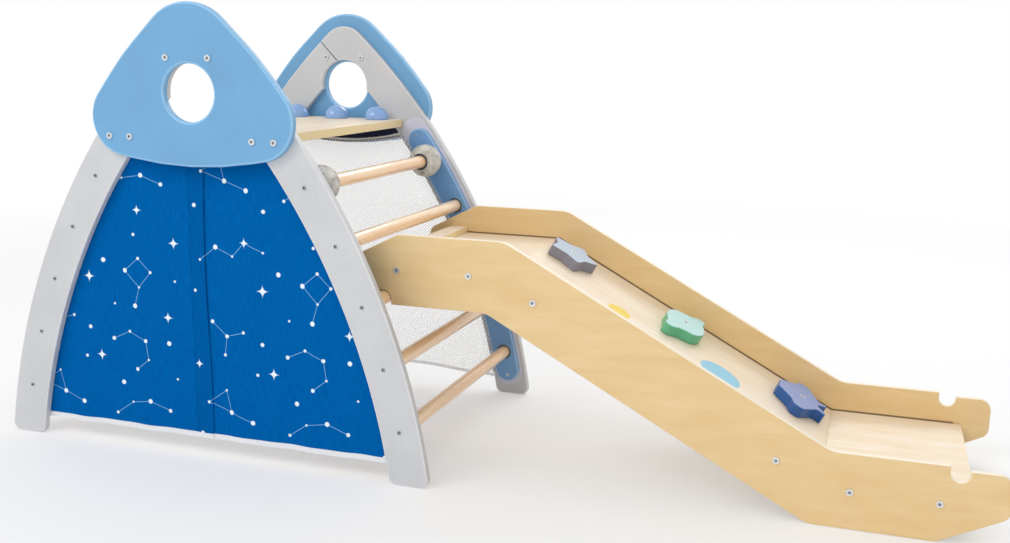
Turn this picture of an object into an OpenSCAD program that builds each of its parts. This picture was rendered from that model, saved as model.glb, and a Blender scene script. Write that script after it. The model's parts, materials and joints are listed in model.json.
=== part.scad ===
// Toddler climbing gym: a rocket-shaped arch with ladders, deck, curtain, mesh and a hook-on ramp.
// Millimetres, +Z up. +X runs along the ramp, the curtain is on the -Y side.
// The origin is on the floor, in the middle of the whole gym.

/* [Legs] */
// Width of a leg across its bow
leg_w = 90; // [80:1:100]
// Thickness of a leg
leg_t = 18; // [15:1:24]
// Radius of the middle line of a leg's bow
bow_r = 1550; // [1350:5:1800]
// Distance between the middle lines of two legs on the floor
feet_w = 988; // [900:1:1080]
// Height at which the middle lines of two legs meet
ridge_z = 929; // [860:1:1000]
// Clear width between the front frame and the rear frame
frame_gap = 684; // [640:2:760]
// Radius of the rounded top where two legs meet
arch_tip_r = 65; // [55:1:75]
// Length of the long leg's tip that lies past its rounded top
leg_joint_run = 32; // [20:1:45]
// Radius of a foot's corners
foot_r = 18; // [10:1:24]

/* [Nose panels] */
// Thickness of a nose panel
nose_t = 18; // [15:1:24]
// Width of a nose panel
nose_w = 492; // [470:2:520]
// Height of a nose panel
nose_h = 344; // [330:2:360]
// Rise of a nose panel over the legs' top
nose_rim = 33; // [20:1:45]
// Diameter of the porthole
porthole_d = 123; // [100:1:130]
// Depth of the porthole's centre below the nose panel's top
porthole_drop = 188; // [180:1:200]
// Room that the legs leave round the porthole
porthole_ease = 5; // [2:1:10]
// Depth of the top bolts below the nose panel's top
top_bolt_drop = 115; // [105:1:125]

/* [Ladders] */
// Diameter of a rung
rung_d = 32; // [28:1:36]
// Height of the lowest rung's axis
rung_low_z = 118; // [110:1:130]
// Depth of the top rung's axis below the deck's top
rung_top_drop = 102; // [96:1:115]
// Width of a rail
rail_w = 62; // [54:1:66]
// Thickness of a rail
rail_t = 14; // [10:1:18]
// Length of a rail past the top rung
rail_past_top = 90; // [75:1:95]
// Length of a rail past the lowest rung
rail_past_bottom = 80; // [60:1:85]
// Room round a rung in its rail
rung_ease = 2; // [1:0.5:3]
// Distance of a rail's screws from its ends
rail_screw_in = 16; // [12:1:22]
// Thickness of a cloth band
band_t = 2; // [1.5:0.5:4]
// Rim of a cloth band past its rail's long edges
band_rim = 6; // [3:1:9]
// Length of a cloth band past its rail's top end
band_past_top = 34; // [25:1:45]
// Length of a cloth band past its rail's bottom end
band_past_bottom = 14; // [8:1:20]
// Diameter of a moon ball
moon_d = 84; // [72:1:92]
// Length of a moon ball along its rung
moon_l = 72; // [60:1:74]

/* [Deck] */
// Height of the deck's top over the nose panels' lower edge
deck_rise = 70; // [60:1:80]
// Thickness of the deck
deck_t = 20; // [18:1:24]
// Distance of the deck's ends inside the legs' middle lines
deck_inset = 23; // [15:1:30]
// Diameter of a knob
knob_d = 62; // [50:1:70]
// Distance from one knob to the next as a share of half the deck's length
knob_pitch_share = 0.685; // [0.6:0.005:0.72]
// Distance of the knobs from the rear frame
knob_back = 45; // [40:1:80]
// Diameter of the hole over a knob's screw
knob_hole_d = 9; // [8.5:0.5:12]

/* [Cloth] */
// Thickness of the curtain and the mesh
cloth_t = 1.2; // [0.8:0.1:1.3]
// Height of the cloth's lower edge over the floor
cloth_z = 38; // [30:1:60]
// Height of the hems
hem_h = 12; // [8:1:18]
// Height of the top of the curtain's slit over the nose panels' lower edge
slit_rise = 8; // [0:1:20]
// Half width of the slit
slit_half = 0.5; // [0.3:0.1:1]
// Distance of a fold's lower end inside the legs' inner edge
fold_in = 12; // [8:1:30]
// Distance from one gap of the mesh to the next
mesh_pitch = 58; // [54:1:80]
// Width of a strand between two gaps of the mesh
mesh_strand = 11; // [6:1:16]

/* [Ramp] */
// Width of the ramp over its sides
ramp_w = 508; // [460:2:560]
// Thickness of a side
side_t = 15; // [12:1:18]
// Height of a side
side_h = 155; // [145:1:165]
// Thickness of the boards
board_t = 15; // [12:1:18]
// Slope of the middle board
ramp_angle = 28.3; // [26:0.1:31]
// Length of a landing from its bend to its end
landing_len = 288; // [276:1:296]
// Distance from a bend to the hook notch
notch_run = 254; // [246:1:262]
// Depth of the hook notch's round end inside a side's edge
notch_in = 13; // [8:1:20]
// Width of the hook notch
notch_d = 36; // [34:0.5:40]
// Distance from a bend to the tip of a side
tip_run = 348; // [335:1:360]
// Drop of the tip's edge past the notch
tip_drop = 7; // [3:1:10]
// Depth of the cut-off corner at the end of a side
tip_cut = 65; // [55:1:75]
// Length of the cut-off corner at the end of a side
tip_cut_run = 128; // [115:1:140]
// Radius of a side's bends
bend_r = 60; // [20:1:80]
// Radius of a side's corners
corner_r = 26; // [10:1:32]
// Width of a batten
batten_w = 44; // [30:1:55]
// Height of a batten
batten_h = 15; // [10:1:20]

/* [Holds] */
// Thickness of a hold
hold_t = 26; // [18:1:32]
// Distance of the holds' middle from the ramp's rear side
hold_in = 119; // [98:1:125]
// Distance of the star hold's centre down the slope
star_s = 63; // [61:1:90]
// Radius of the star hold's points
star_r = 68; // [50:1:70]
// Length of the cloud hold down the slope
cloud_l = 100; // [80:1:120]
// Width of the cloud hold across the slope
cloud_w = 172; // [140:1:180]
// Distance of the cloud hold's centre up from the slope's middle
cloud_rise = 11; // [0:1:30]
// Distance of the shuttle hold's tail from the slope's lower end
shuttle_end = 26; // [5:1:40]
// Length of the shuttle hold down the slope
shuttle_l = 120; // [100:1:124]
// Width of the shuttle hold across the slope
shuttle_w = 174; // [140:1:180]

/* [Fasteners] */
// Diameter of the bolts
bolt_d = 6; // [5:0.5:8]
// Diameter of a bolt's head
bolt_head_d = 14; // [12:1:16]
// Height of a bolt's head
bolt_head_h = 3; // [2:0.5:4]
// Diameter of a barrel nut or an insert nut
nut_d = 10; // [9:0.5:12]
// Length of a barrel nut
barrel_l = 13; // [10:0.5:14]
// Distance of a barrel nut from its board's edge
barrel_in = 34; // [26:1:45]
// Diameter of the screws
screw_d = 5; // [4:0.5:6]
// Diameter of a screw's head
screw_head_d = 8; // [7:0.5:8.4]
// Height of a screw's head
screw_head_h = 2; // [1:0.5:3]
// Depth of a screw in the wood that holds it
screw_grip = 30; // [20:1:40]
// Width of a hexagon socket as a share of the head's width
socket_share = 0.5; // [0.3:0.05:0.6]

/* [Hidden] */
// Slack of a fastener in its hole
slack = 0.1;
// Running clearance of what turns, swings or hooks on
play = 0.3;
// Overrun of a cut past a face
over = 1;
// Largest step of a rounded corner, in degrees
corner_step = 6;
// Segments of the large bows
bow_fn = 720;
$fn = 64;

// Colours
nose_blue = "#79addf";
leg_grey = "#cccbd0";
rail_blue = "#6f9ccf";
band_pale = "#d3d3e0";
birch = "#ddbb82";
pale_birch = "#f4e3cc";
beech = "#e9b98b";
moon_grey = "#b9b8b0";
knob_blue = "#92addb";
curtain_blue = "#0062ae";
white_cloth = "#f2f2f2";
star_grey = "#b5c3d8";
cloud_mint = "#8fd6b8";
shuttle_blue = "#5b7fc0";
steel = "#c0c0c4";

// Legs and arch: a bow's middle line runs from a foot to the ridge
bow_foot = [feet_w / 2, 0];
bow_ridge = [0, ridge_z];
bow_chord = bow_ridge - bow_foot;
bow_reach = sqrt(pow(bow_r, 2) - pow(norm(bow_chord) / 2, 2));
bow_centre = (bow_foot + bow_ridge) / 2 - bow_reach * unit([bow_chord[1], -bow_chord[0]]);
bow_x = -bow_centre[0];
bow_drop = -bow_centre[1];
leg_in_r = bow_r - leg_w / 2;
leg_out_r = bow_r + leg_w / 2;
arch_tip_z = sqrt(pow(leg_out_r - arch_tip_r, 2) - pow(bow_x, 2)) - bow_drop;
leg_top = arch_tip_z + arch_tip_r;
arch_tip_angle = atan2(arch_tip_z + bow_drop, bow_x);
leg_joint_angle = arch_tip_angle - arc_angle(leg_joint_run);
leg_y = frame_gap / 2;
nose_y = leg_y + leg_t;
outer_y = nose_y + nose_t;

// Nose panels: corners as [half width, height over the lower edge, radius] shares
nose_corner_shares = [[0, 1.133, 0.242], [0.671, 0.674, 1.22], [1.278, 0.123, 0.169], [0, -0.038, 1.73]];
nose_top = leg_top + nose_rim;
nose_low = nose_top - nose_h;
porthole_z = nose_top - porthole_drop;
top_bolt_z = nose_top - top_bolt_drop;
// Offsets of the nose bolts from a leg's middle line, as shares of the leg's width
top_bolt_share = 0.05;
inner_bolt_share = -0.5;
outer_bolt_share = 0.07;

// Ladders
deck_z = nose_low + deck_rise;
rung_r = rung_d / 2;
rung_low_angle = asin((rung_low_z + bow_drop) / bow_r);
top_rung_angle = asin((deck_z - rung_top_drop + bow_drop) / bow_r);
rungs_per_side = 5;
rung_step = (top_rung_angle - rung_low_angle) / (rungs_per_side - 1);
rung_spots = [for (i = [1:rungs_per_side]) bow_point(rung_low_angle + (rungs_per_side - i) * rung_step)];
rail_in_r = bow_r - rail_w / 2;
rail_out_r = bow_r + rail_w / 2;
rail_top_angle = top_rung_angle + arc_angle(rail_past_top - rail_w / 2);
rail_low_angle = rung_low_angle - arc_angle(rail_past_bottom - rail_w / 2);
rail_screw_shift = rail_w / 2 - rail_screw_in;
rail_screw_spots = [
    bow_point(rail_top_angle + arc_angle(rail_screw_shift)),
    bow_point(rail_low_angle - arc_angle(rail_screw_shift))
];
band_w = rail_w + 2 * band_rim;
band_in_r = bow_r - band_w / 2;
band_top_angle = rail_top_angle + arc_angle(band_past_top - band_rim);
band_low_angle = rail_low_angle - arc_angle(band_past_bottom - band_rim);
rail_y = leg_y - band_t - rail_t;
moon_y = rail_y - play - moon_l / 2;

// Deck
deck_low = deck_z - deck_t;
deck_mid = deck_z - deck_t / 2;
deck_x = bow_at(bow_r, deck_mid) - deck_inset;
inner_bolt_x = bow_at(bow_r, deck_mid) + inner_bolt_share * leg_w;
outer_bolt_x = bow_at(bow_r, deck_mid) + outer_bolt_share * leg_w;
top_bolt_x = bow_at(bow_r, top_bolt_z) + top_bolt_share * leg_w;
knob_y = leg_y - knob_back;
knob_pitch = knob_pitch_share * deck_x;
knob_r = knob_d / 2;
// Height of a knob's straight foot, and depth of the hole over its screw, as shares of its radius
knob_foot_share = 0.1;
knob_sink_share = 0.45;

// Cloth
cloth_r = band_in_r - play;
cloth_y = leg_y - band_t;
fold_low = [bow_at(leg_in_r, cloth_z) - fold_in, cloth_z];
slit_z = nose_low + slit_rise;
fold_high = [slit_half, slit_z];
fold_gap = cloth_t / 2 + play;

// Ramp, drawn about its own centre, the same turned by half a turn
ramp_hook_z = rung_spots[2][1] + rung_r + play - notch_d / 2;
ramp_h = ramp_hook_z + side_h - notch_in;
bend_rise = (ramp_h - side_h) / 2;
bend_run = bend_rise / tan(ramp_angle);
ramp_x = rung_spots[2][0] + bend_run + notch_run;
ramp_z = ramp_h / 2;
ramp_inner_w = ramp_w - 2 * side_t;
side_shift = side_h / 2 * tan(ramp_angle / 2);
board_shift = board_t / 2 * tan(ramp_angle / 2);
low_bend = [bend_run, -bend_rise];
slope_len = 2 * norm(low_bend);
// Places of the ramp's bolts as shares of a landing's length: two along a landing and one up the slope
landing_bolt_shares = [0.77, 0.2];
slope_bolt_share = 0.335;
ramp_bolt_spots = with_turned(concat(
    [for (share = landing_bolt_shares) low_bend + [share * landing_len, 0]],
    [low_bend + slope_bolt_share * landing_len * [-cos(ramp_angle), sin(ramp_angle)]]
));
ramp_bolt_tilts = [0, 0, ramp_angle, 0, 0, ramp_angle];
bolt_l = side_t + barrel_in + nut_d / 2;
deck_bolt_l = leg_t + nose_t + barrel_in + nut_d / 2;

// Holds
hold_y = ramp_inner_w / 2 - hold_in;
star_points = 5;
// Radius of the star's inner corners and of its rounding, as shares of its points' radius, and its turn
star_inner_share = 0.65;
star_round_share = 0.1;
star_turn = 9;
// Half of the cloud's outline as shares of its half length and half width, and the steps between its points
cloud_shares = [[1, -0.06], [0.98, 0.16], [0.87, 0.4], [0.76, 0.6], [0.8, 0.81], [0.68, 0.96], [0.46, 1],
    [0.24, 0.92], [0.1, 0.79], [-0.12, 0.71], [-0.38, 0.65], [-0.64, 0.6], [-0.86, 0.42], [-0.98, 0.23]];
cloud_steps = 3;
// Half outline of the shuttle from nose to tail as [length, half width, rounding] shares
shuttle_shares = [[0, 0.28, 0.1], [0.3, 0.66, 0.12], [0.38, 0.97, 0.1], [0.57, 1, 0.12], [0.85, 0.29, 0.1],
    [1, 0.42, 0.03], [1, 0.26, 0.03], [0.84, 0.06, 0.04]];
tee_flange_share = 1.8;
tee_flange_h = 1.5;

// Middle of the whole gym along X
foot_x = sqrt(pow(leg_out_r - foot_r, 2) - pow(foot_r + bow_drop, 2)) - bow_x + foot_r;
gym_end_x = ramp_x + bend_run + tip_run;
x_shift = -(gym_end_x - foot_x) / 2;

// Angle that a length takes along a bow's middle line
function arc_angle(length) = length / bow_r * 180 / PI;
// Point of the right-hand bow at an angle
function bow_point(angle, r = bow_r) = [r * cos(angle) - bow_x, r * sin(angle) - bow_drop];
// Distance from the middle of a right-hand bow of radius r at a height
function bow_at(r, z) = sqrt(pow(r, 2) - pow(z + bow_drop, 2)) - bow_x;
// A list of points, and the same points turned by half a turn
function with_turned(points) = concat(points, [for (p = points) -p]);
function unit(v) = v / norm(v);
// Closed list of points, with a smooth curve of some steps through them
function smoothed(points, steps) = let (n = len(points)) [for (i = [0:n - 1], j = [0:steps - 1])
    let (t = j / steps, a = points[(i + n - 1) % n], b = points[i],
        c = points[(i + 1) % n], d = points[(i + 2) % n])
    b + ((c - a) * t + (2 * a - 5 * b + 4 * c - d) * pow(t, 2)
        + (3 * b - a - 3 * c + d) * pow(t, 3)) / 2];
function head(corner) = [corner[0], corner[1]];

// Points of the arc that rounds corner q between its neighbours p and s
function rounding(p, q, s, r) =
    let (to_p = unit(p - q), to_s = unit(s - q), half = acos(to_p * to_s) / 2,
        reach = r / tan(half), centre = q + unit(to_p + to_s) * r / sin(half),
        from = q + to_p * reach - centre, to = q + to_s * reach - centre,
        start = atan2(from[1], from[0]), turn = atan2(from[0] * to[1] - from[1] * to[0], from * to),
        steps = max(2, ceil(abs(turn) / corner_step)))
    [for (i = [0:steps]) centre + r * [cos(start + turn * i / steps), sin(start + turn * i / steps)]];

// Outline through corners given as [x, z, radius]
function rounded(corners) =
    let (n = len(corners))
    [for (i = [0:n - 1])
        let (q = corners[i], p = corners[(i + n - 1) % n], s = corners[(i + 1) % n])
        each q[2] > 0 ? rounding(head(p), head(q), head(s), q[2]) : [head(q)]];

// A half outline from the top middle to the bottom middle, closed by its mirror image
function mirrored(half) =
    let (n = len(half))
    concat(half, [for (i = [n - 2:-1:1]) [-half[i][0], half[i][1], half[i][2]]]);

// Plate of thickness t from y on, from an outline drawn in X and Z
module plate(y, t) {
    translate([x_shift, y, 0])
        rotate([90, 0, 0])
            translate([0, 0, -t])
                linear_extrude(t)
                    children();
}

// Plate on the inner or outer side of a frame: side is -1 at the front and 1 at the rear
module frame_plate(side, y, t) {
    plate(side > 0 ? y : -y - t, t) children();
}

module ramp_plate(y, t) {
    translate([ramp_x, 0, ramp_z]) plate(y, t) children();
}

// Child with its Z axis pointing out of the front (-1) or the rear (1) at a point
module on_face(side, spot, y) {
    translate([spot[0] + x_shift, side * y, spot[1]])
        rotate([-90 * side, 0, 0])
            children();
}

module on_ramp(spot) {
    translate([ramp_x + spot[0] + x_shift, 0, ramp_z + spot[1]]) children();
}

// Child on the slope's upper face, X downhill, at a distance from the upper bend
module on_slope(s, y) {
    on_ramp(-low_bend)
        rotate([0, ramp_angle, 0])
            translate([s, y, board_t / 2])
                children();
}

module through_y(spot, d) {
    translate([spot[0] + x_shift, 0, spot[1]])
        rotate([90, 0, 0])
            cylinder(h = 2 * outer_y + 2 * bolt_head_d, d = d, center = true);
}

module both_sides() {
    children();
    mirror([1, 0]) children();
}

function flip(spot, side) = [side * spot[0], spot[1]];

module socket(d, depth) {
    translate([0, 0, -depth]) cylinder(h = depth + over, d = d, $fn = 6);
}

// Bolt or screw with its head's underside at zero and its shank below
module fastener(head_d, head_h, shank_d, shank_l) {
    difference() {
        union() {
            cylinder(h = head_h, d = head_d);
            translate([0, 0, -shank_l]) cylinder(h = shank_l + head_h / 2, d = shank_d);
        }
        translate([0, 0, head_h]) socket(head_d * socket_share, head_h * 2 / 3);
    }
}

// Flat shapes of the frame, in X and Z

module bow_disc(r) {
    translate([-bow_x, -bow_drop]) circle(r, $fn = bow_fn);
}

module both_discs(r) {
    intersection() {
        bow_disc(r);
        mirror([1, 0]) bow_disc(r);
    }
}

// Corner of a foot that is rounded off: inside is 1 on the bow's outer edge and -1 on its inner edge
module foot_corner(edge_r, inside) {
    centre_r = edge_r - inside * foot_r;
    centre = [sqrt(pow(centre_r, 2) - pow(foot_r + bow_drop, 2)) - bow_x, foot_r];
    angle = asin((foot_r + bow_drop) / centre_r);
    touch = bow_point(angle, edge_r);
    past = touch + inside * over * [1, 0];
    difference() {
        polygon([centre, [centre[0], -over], [past[0] + inside * foot_r, -over],
            [past[0] + inside * foot_r, touch[1]], past, touch]);
        translate(centre) circle(foot_r);
    }
}

module arch() {
    tangent_z = (arch_tip_z + bow_drop) * leg_out_r / (leg_out_r - arch_tip_r) - bow_drop;
    difference() {
        union() {
            intersection() {
                both_discs(leg_out_r);
                translate([-leg_out_r, 0]) square([2 * leg_out_r, tangent_z]);
            }
            translate([0, arch_tip_z]) circle(arch_tip_r);
        }
        both_discs(leg_in_r);
        translate([0, porthole_z]) circle(d = porthole_d + 2 * porthole_ease);
        both_sides() {
            foot_corner(leg_out_r, 1);
            foot_corner(leg_in_r, -1);
        }
    }
}

// The part of the right-hand bow that a short leg takes
module short_leg_zone() {
    reach = 2 * leg_out_r;
    difference() {
        polygon([[-bow_x, -bow_drop], [reach - bow_x, -bow_drop], bow_point(leg_joint_angle, reach)]);
        bow_disc(leg_in_r);
    }
}

module band_sector(r_in, r_out, low, high) {
    reach = 2 * r_out;
    intersection() {
        difference() {
            bow_disc(r_out);
            bow_disc(r_in);
        }
        polygon([[-bow_x, -bow_drop], bow_point(low, reach), bow_point(high, reach)]);
    }
}

module rail_shape() {
    band_sector(rail_in_r, rail_out_r, rail_low_angle, rail_top_angle);
    for (angle = [rail_low_angle, rail_top_angle]) {
        translate(bow_point(angle)) circle(d = rail_w);
    }
}

module band_shape() {
    difference() {
        union() {
            band_sector(band_in_r, band_in_r + band_w, band_low_angle, band_top_angle);
            for (angle = [band_low_angle, band_top_angle]) {
                translate(bow_point(angle)) circle(d = band_w);
            }
        }
        translate([0, deck_low - play]) square([deck_x + play, deck_t + 2 * play]);
        translate([0, deck_low]) square([deck_x, leg_top]);
    }
}

module nose_shape() {
    half = [for (c = nose_corner_shares) [c[0] * nose_w / 2, nose_low + c[1] * nose_h, c[2] * nose_w]];
    difference() {
        polygon(rounded(mirrored(half)));
        translate([0, porthole_z]) circle(d = porthole_d);
    }
}

nose_bolt_spots = [[inner_bolt_x, deck_mid], [outer_bolt_x, deck_mid], [top_bolt_x, top_bolt_z]];

module leg(side, hand, short) {
    color(leg_grey)
        difference() {
            frame_plate(side, leg_y, leg_t) {
                if (short) {
                    intersection() {
                        arch();
                        mirror([hand > 0 ? 0 : 1, 0]) short_leg_zone();
                    }
                } else {
                    difference() {
                        arch();
                        mirror([hand > 0 ? 1 : 0, 0]) short_leg_zone();
                    }
                }
            }
            for (spot = rung_spots) through_y(flip(spot, hand), screw_d + 2 * slack);
            for (spot = rail_screw_spots) {
                on_face(side, flip(spot, hand), leg_y)
                    translate([0, 0, -over])
                        cylinder(h = leg_t / 2 + over, d = screw_d + 2 * slack);
            }
            through_y(flip(nose_bolt_spots[0], hand), bolt_d + 2 * slack);
            for (i = [1, 2]) through_y(flip(nose_bolt_spots[i], hand), nut_d + 2 * slack);
        }
}

module nose_panel(side) {
    color(nose_blue)
        difference() {
            frame_plate(side, nose_y, nose_t) nose_shape();
            for (hand = [-1, 1]) {
                for (spot = nose_bolt_spots) through_y(flip(spot, hand), bolt_d + 2 * slack);
            }
        }
}

module rail(side, hand) {
    color(rail_blue)
        difference() {
            frame_plate(side, rail_y, rail_t) mirror([hand > 0 ? 0 : 1, 0]) rail_shape();
            for (spot = rung_spots) through_y(flip(spot, hand), rung_d + 2 * rung_ease);
            for (spot = rail_screw_spots) through_y(flip(spot, hand), screw_d + 2 * slack);
        }
}

module band(side, hand) {
    color(band_pale)
        difference() {
            frame_plate(side, leg_y - band_t, band_t) mirror([hand > 0 ? 0 : 1, 0]) band_shape();
            for (spot = rung_spots) through_y(flip(spot, hand), rung_d + 2 * rung_ease);
            for (spot = rail_screw_spots) through_y(flip(spot, hand), screw_d + 2 * slack);
        }
}

module rung(hand, i) {
    spot = flip(rung_spots[i - 1], hand);
    color(beech)
        difference() {
            translate([spot[0] + x_shift, 0, spot[1]])
                rotate([90, 0, 0])
                    cylinder(h = frame_gap, d = rung_d, center = true);
            for (side = [-1, 1]) {
                on_face(side, spot, leg_y)
                    translate([0, 0, -screw_grip - over])
                        cylinder(h = screw_grip + 2 * over, d = screw_d + 2 * slack);
            }
        }
}

module moon_ball(side) {
    spot = rung_spots[0];
    color(moon_grey)
        translate([spot[0] + x_shift, side * moon_y, spot[1]])
            rotate([90, 0, 0])
                difference() {
                    intersection() {
                        sphere(d = moon_d);
                        cylinder(h = moon_l, d = moon_d + over, center = true);
                    }
                    cylinder(h = moon_l + over, d = rung_d + 2 * play, center = true);
                }
}

// Deck and knobs

module deck() {
    color(pale_birch)
        difference() {
            translate([x_shift - deck_x, -leg_y, deck_low]) cube([2 * deck_x, frame_gap, deck_t]);
            for (side = [-1, 1], hand = [-1, 1]) {
                on_face(side, flip(nose_bolt_spots[0], hand), leg_y)
                    translate([0, 0, -barrel_in - nut_d])
                        cylinder(h = barrel_in + nut_d + over, d = bolt_d + 2 * slack);
                translate([hand * inner_bolt_x + x_shift, side * (leg_y - barrel_in), deck_low - over])
                    cylinder(h = deck_t / 2 + barrel_l / 2 + over, d = nut_d + 2 * slack);
            }
            for (i = [-1:1]) {
                translate([i * knob_pitch + x_shift, knob_y, deck_low - over])
                    cylinder(h = deck_t + 2 * over, d = screw_d + 2 * slack);
            }
        }
}

module knob(i) {
    foot = knob_r * knob_foot_share;
    color(knob_blue)
        translate([i * knob_pitch + x_shift, knob_y, deck_z + play])
            difference() {
                union() {
                    cylinder(h = foot, r = knob_r);
                    intersection() {
                        translate([0, 0, foot]) sphere(knob_r);
                        translate([0, 0, foot]) cylinder(h = knob_d, r = knob_d);
                    }
                }
                translate([0, 0, -over]) cylinder(h = knob_d, d = screw_d + 2 * play);
                translate([0, 0, foot + knob_r * (1 - knob_sink_share)])
                    cylinder(h = knob_r, d = knob_hole_d);
            }
}

module knob_screws() {
    head_z = knob_r * (knob_foot_share + 1 - knob_sink_share) + 2 * play;
    color(steel)
        for (i = [-1:1]) {
            translate([i * knob_pitch + x_shift, knob_y, deck_z + head_z])
                fastener(screw_head_d, screw_head_h, screw_d, head_z + deck_t);
        }
}

// Cloth

module cloth_area(low, high) {
    intersection() {
        both_discs(cloth_r);
        translate([-cloth_r, low]) square([2 * cloth_r, high - low]);
    }
}

// Right-hand side of the curtain's fold, moved away from the flap by a gap
module beyond_fold(gap) {
    away = gap * unit([fold_high[1] - fold_low[1], fold_low[0] - fold_high[0]]);
    down = unit(fold_low - fold_high) * cloth_z;
    reach = fold_low + down + away;
    polygon([fold_high + away, reach, [leg_out_r, reach[1]], [leg_out_r, leg_top], [slit_half, leg_top],
        [slit_half, fold_high[1] + norm(away)]]);
}

module flap_area(low, high) {
    intersection() {
        polygon([fold_high, fold_low, [slit_half, fold_low[1]]]);
        translate([0, low]) square([leg_out_r, high - low]);
    }
}

module curtain_plate(hand) {
    color(curtain_blue)
        frame_plate(-1, cloth_y, cloth_t) mirror([hand > 0 ? 0 : 1, 0]) children();
}

module curtain_side(hand) {
    curtain_plate(hand)
        intersection() {
            cloth_area(cloth_z, deck_low);
            beyond_fold(fold_gap);
        }
}

module curtain_flap(hand) {
    curtain_plate(hand) flap_area(cloth_z + hem_h, slit_z);
}

module curtain_hem(hand) {
    color(white_cloth)
        frame_plate(-1, cloth_y, cloth_t)
            mirror([hand > 0 ? 0 : 1, 0])
                flap_area(cloth_z, cloth_z + hem_h);
}

mesh_low = cloth_z + hem_h;
mesh_rows = floor((deck_low - mesh_low) / (mesh_pitch / 2));
mesh_columns = ceil(2 * bow_at(cloth_r, mesh_low) / mesh_pitch);
mesh_reach = mesh_pitch / 2;
function in_mesh(p) = norm([abs(p[0]) + bow_x, p[1] + bow_drop]) < cloth_r - mesh_reach
    && p[1] > mesh_low + mesh_reach && p[1] < deck_low - mesh_reach;
// Gaps stand in a diamond grid, every second row shifted by half a step
mesh_gaps = [for (row = [1:mesh_rows], column = [-mesh_columns:mesh_columns])
    let (p = [(column + (row % 2) / 2) * mesh_pitch, mesh_low + row * mesh_pitch / 2])
    if (in_mesh(p)) p];

module mesh_panel() {
    half_gap = mesh_pitch / 2 - mesh_strand / sqrt(2);
    color(white_cloth)
        frame_plate(1, cloth_y, cloth_t)
            difference() {
                cloth_area(mesh_low, deck_low);
                for (p = mesh_gaps) {
                    translate(p) polygon([[half_gap, 0], [0, half_gap], [-half_gap, 0], [0, -half_gap]]);
                }
            }
}

module mesh_hem() {
    color(band_pale) frame_plate(1, cloth_y, cloth_t) cloth_area(cloth_z, mesh_low);
}

// Ramp

side_corners = with_corners_turned([
    [side_shift, side_h / 2, bend_r],
    [notch_run, side_h / 2, 0],
    [notch_run, side_h / 2 - tip_drop, 0],
    [tip_run, side_h / 2 - tip_drop, corner_r],
    [tip_run, tip_cut - side_h / 2, corner_r],
    [tip_run - tip_cut_run, -side_h / 2, corner_r],
    [-side_shift, -side_h / 2, bend_r]
]);

// Corners of the lower end about its bend, and the same turned by half a turn for the upper end
function with_corners_turned(corners) =
    let (low = [for (c = corners) [c[0] + low_bend[0], c[1] + low_bend[1], c[2]]])
    concat(low, [for (c = low) [-c[0], -c[1], c[2]]]);

module notch_cut() {
    translate([notch_run, side_h / 2 - notch_in]) {
        circle(d = notch_d);
        translate([-notch_d / 2, 0]) square([notch_d, side_h]);
    }
}

module ramp_side(side) {
    y = ramp_w / 2 - side_t;
    color(birch)
        difference() {
            ramp_plate(side > 0 ? y : -y - side_t, side_t)
                difference() {
                    polygon(rounded(side_corners));
                    for (turn = [0, 180]) rotate(turn) translate(low_bend) notch_cut();
                }
            ramp_bolt_cuts();
        }
}

// Holes for the ramp's bolts and barrel nuts
module ramp_bolt_cuts() {
    for (i = [0:len(ramp_bolt_spots) - 1], side = [-1, 1]) {
        on_ramp(ramp_bolt_spots[i]) {
            translate([0, side * ramp_w / 2, 0])
                rotate([90 * side, 0, 0])
                    translate([0, 0, -over])
                        cylinder(h = bolt_l + 2 * over, d = bolt_d + 2 * slack);
            rotate([0, ramp_bolt_tilts[i], 0])
                translate([0, side * (ramp_inner_w / 2 - barrel_in), -board_t / 2 - over])
                    cylinder(h = board_t / 2 + barrel_l / 2 + over, d = nut_d + 2 * slack);
        }
    }
}

module landing(turn) {
    outline = [[-board_shift, -board_t / 2], [landing_len, -board_t / 2], [landing_len, board_t / 2],
        [board_shift, board_t / 2]];
    color(pale_birch)
        difference() {
            ramp_plate(-ramp_inner_w / 2, ramp_inner_w) rotate(turn) translate(low_bend) polygon(outline);
            ramp_bolt_cuts();
        }
}

module slope_board() {
    low_end = [low_bend + [board_shift, board_t / 2], low_bend + [-board_shift, -board_t / 2]];
    color(pale_birch)
        difference() {
            ramp_plate(-ramp_inner_w / 2, ramp_inner_w) polygon(with_turned(low_end));
            ramp_bolt_cuts();
            hold_bolt_cuts();
        }
}

module batten(turn) {
    color(pale_birch)
        ramp_plate(-ramp_inner_w / 2, ramp_inner_w)
            rotate(turn)
                translate(low_bend + [landing_len - batten_w, -board_t / 2 - batten_h])
                    square([batten_w, batten_h]);
}

// Holds

shuttle_half = [for (c = shuttle_shares) [c[1] * shuttle_w / 2, c[0] * shuttle_l, c[2] * shuttle_l]];
shuttle_outline = rounded(concat(
    [for (i = [len(shuttle_half) - 1:-1:0]) [-shuttle_half[i][0], shuttle_half[i][1], shuttle_half[i][2]]],
    shuttle_half
));
hold_spots = [star_s, slope_len / 2 - cloud_rise, slope_len - shuttle_end - shuttle_l / 2];

module hold_bolt_cuts() {
    for (s = hold_spots) {
        on_slope(s, hold_y)
            translate([0, 0, -board_t - over])
                cylinder(h = board_t + 2 * over, d = nut_d + 2 * slack);
    }
}

module hold(i, colour) {
    color(colour)
        on_slope(hold_spots[i], hold_y)
            difference() {
                linear_extrude(hold_t) children();
                translate([0, 0, -over]) cylinder(h = hold_t + 2 * over, d = bolt_d + 2 * slack);
                translate([0, 0, hold_t - bolt_head_h - slack])
                    cylinder(h = hold_t, d = bolt_head_d + 2 * slack);
            }
}

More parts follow.
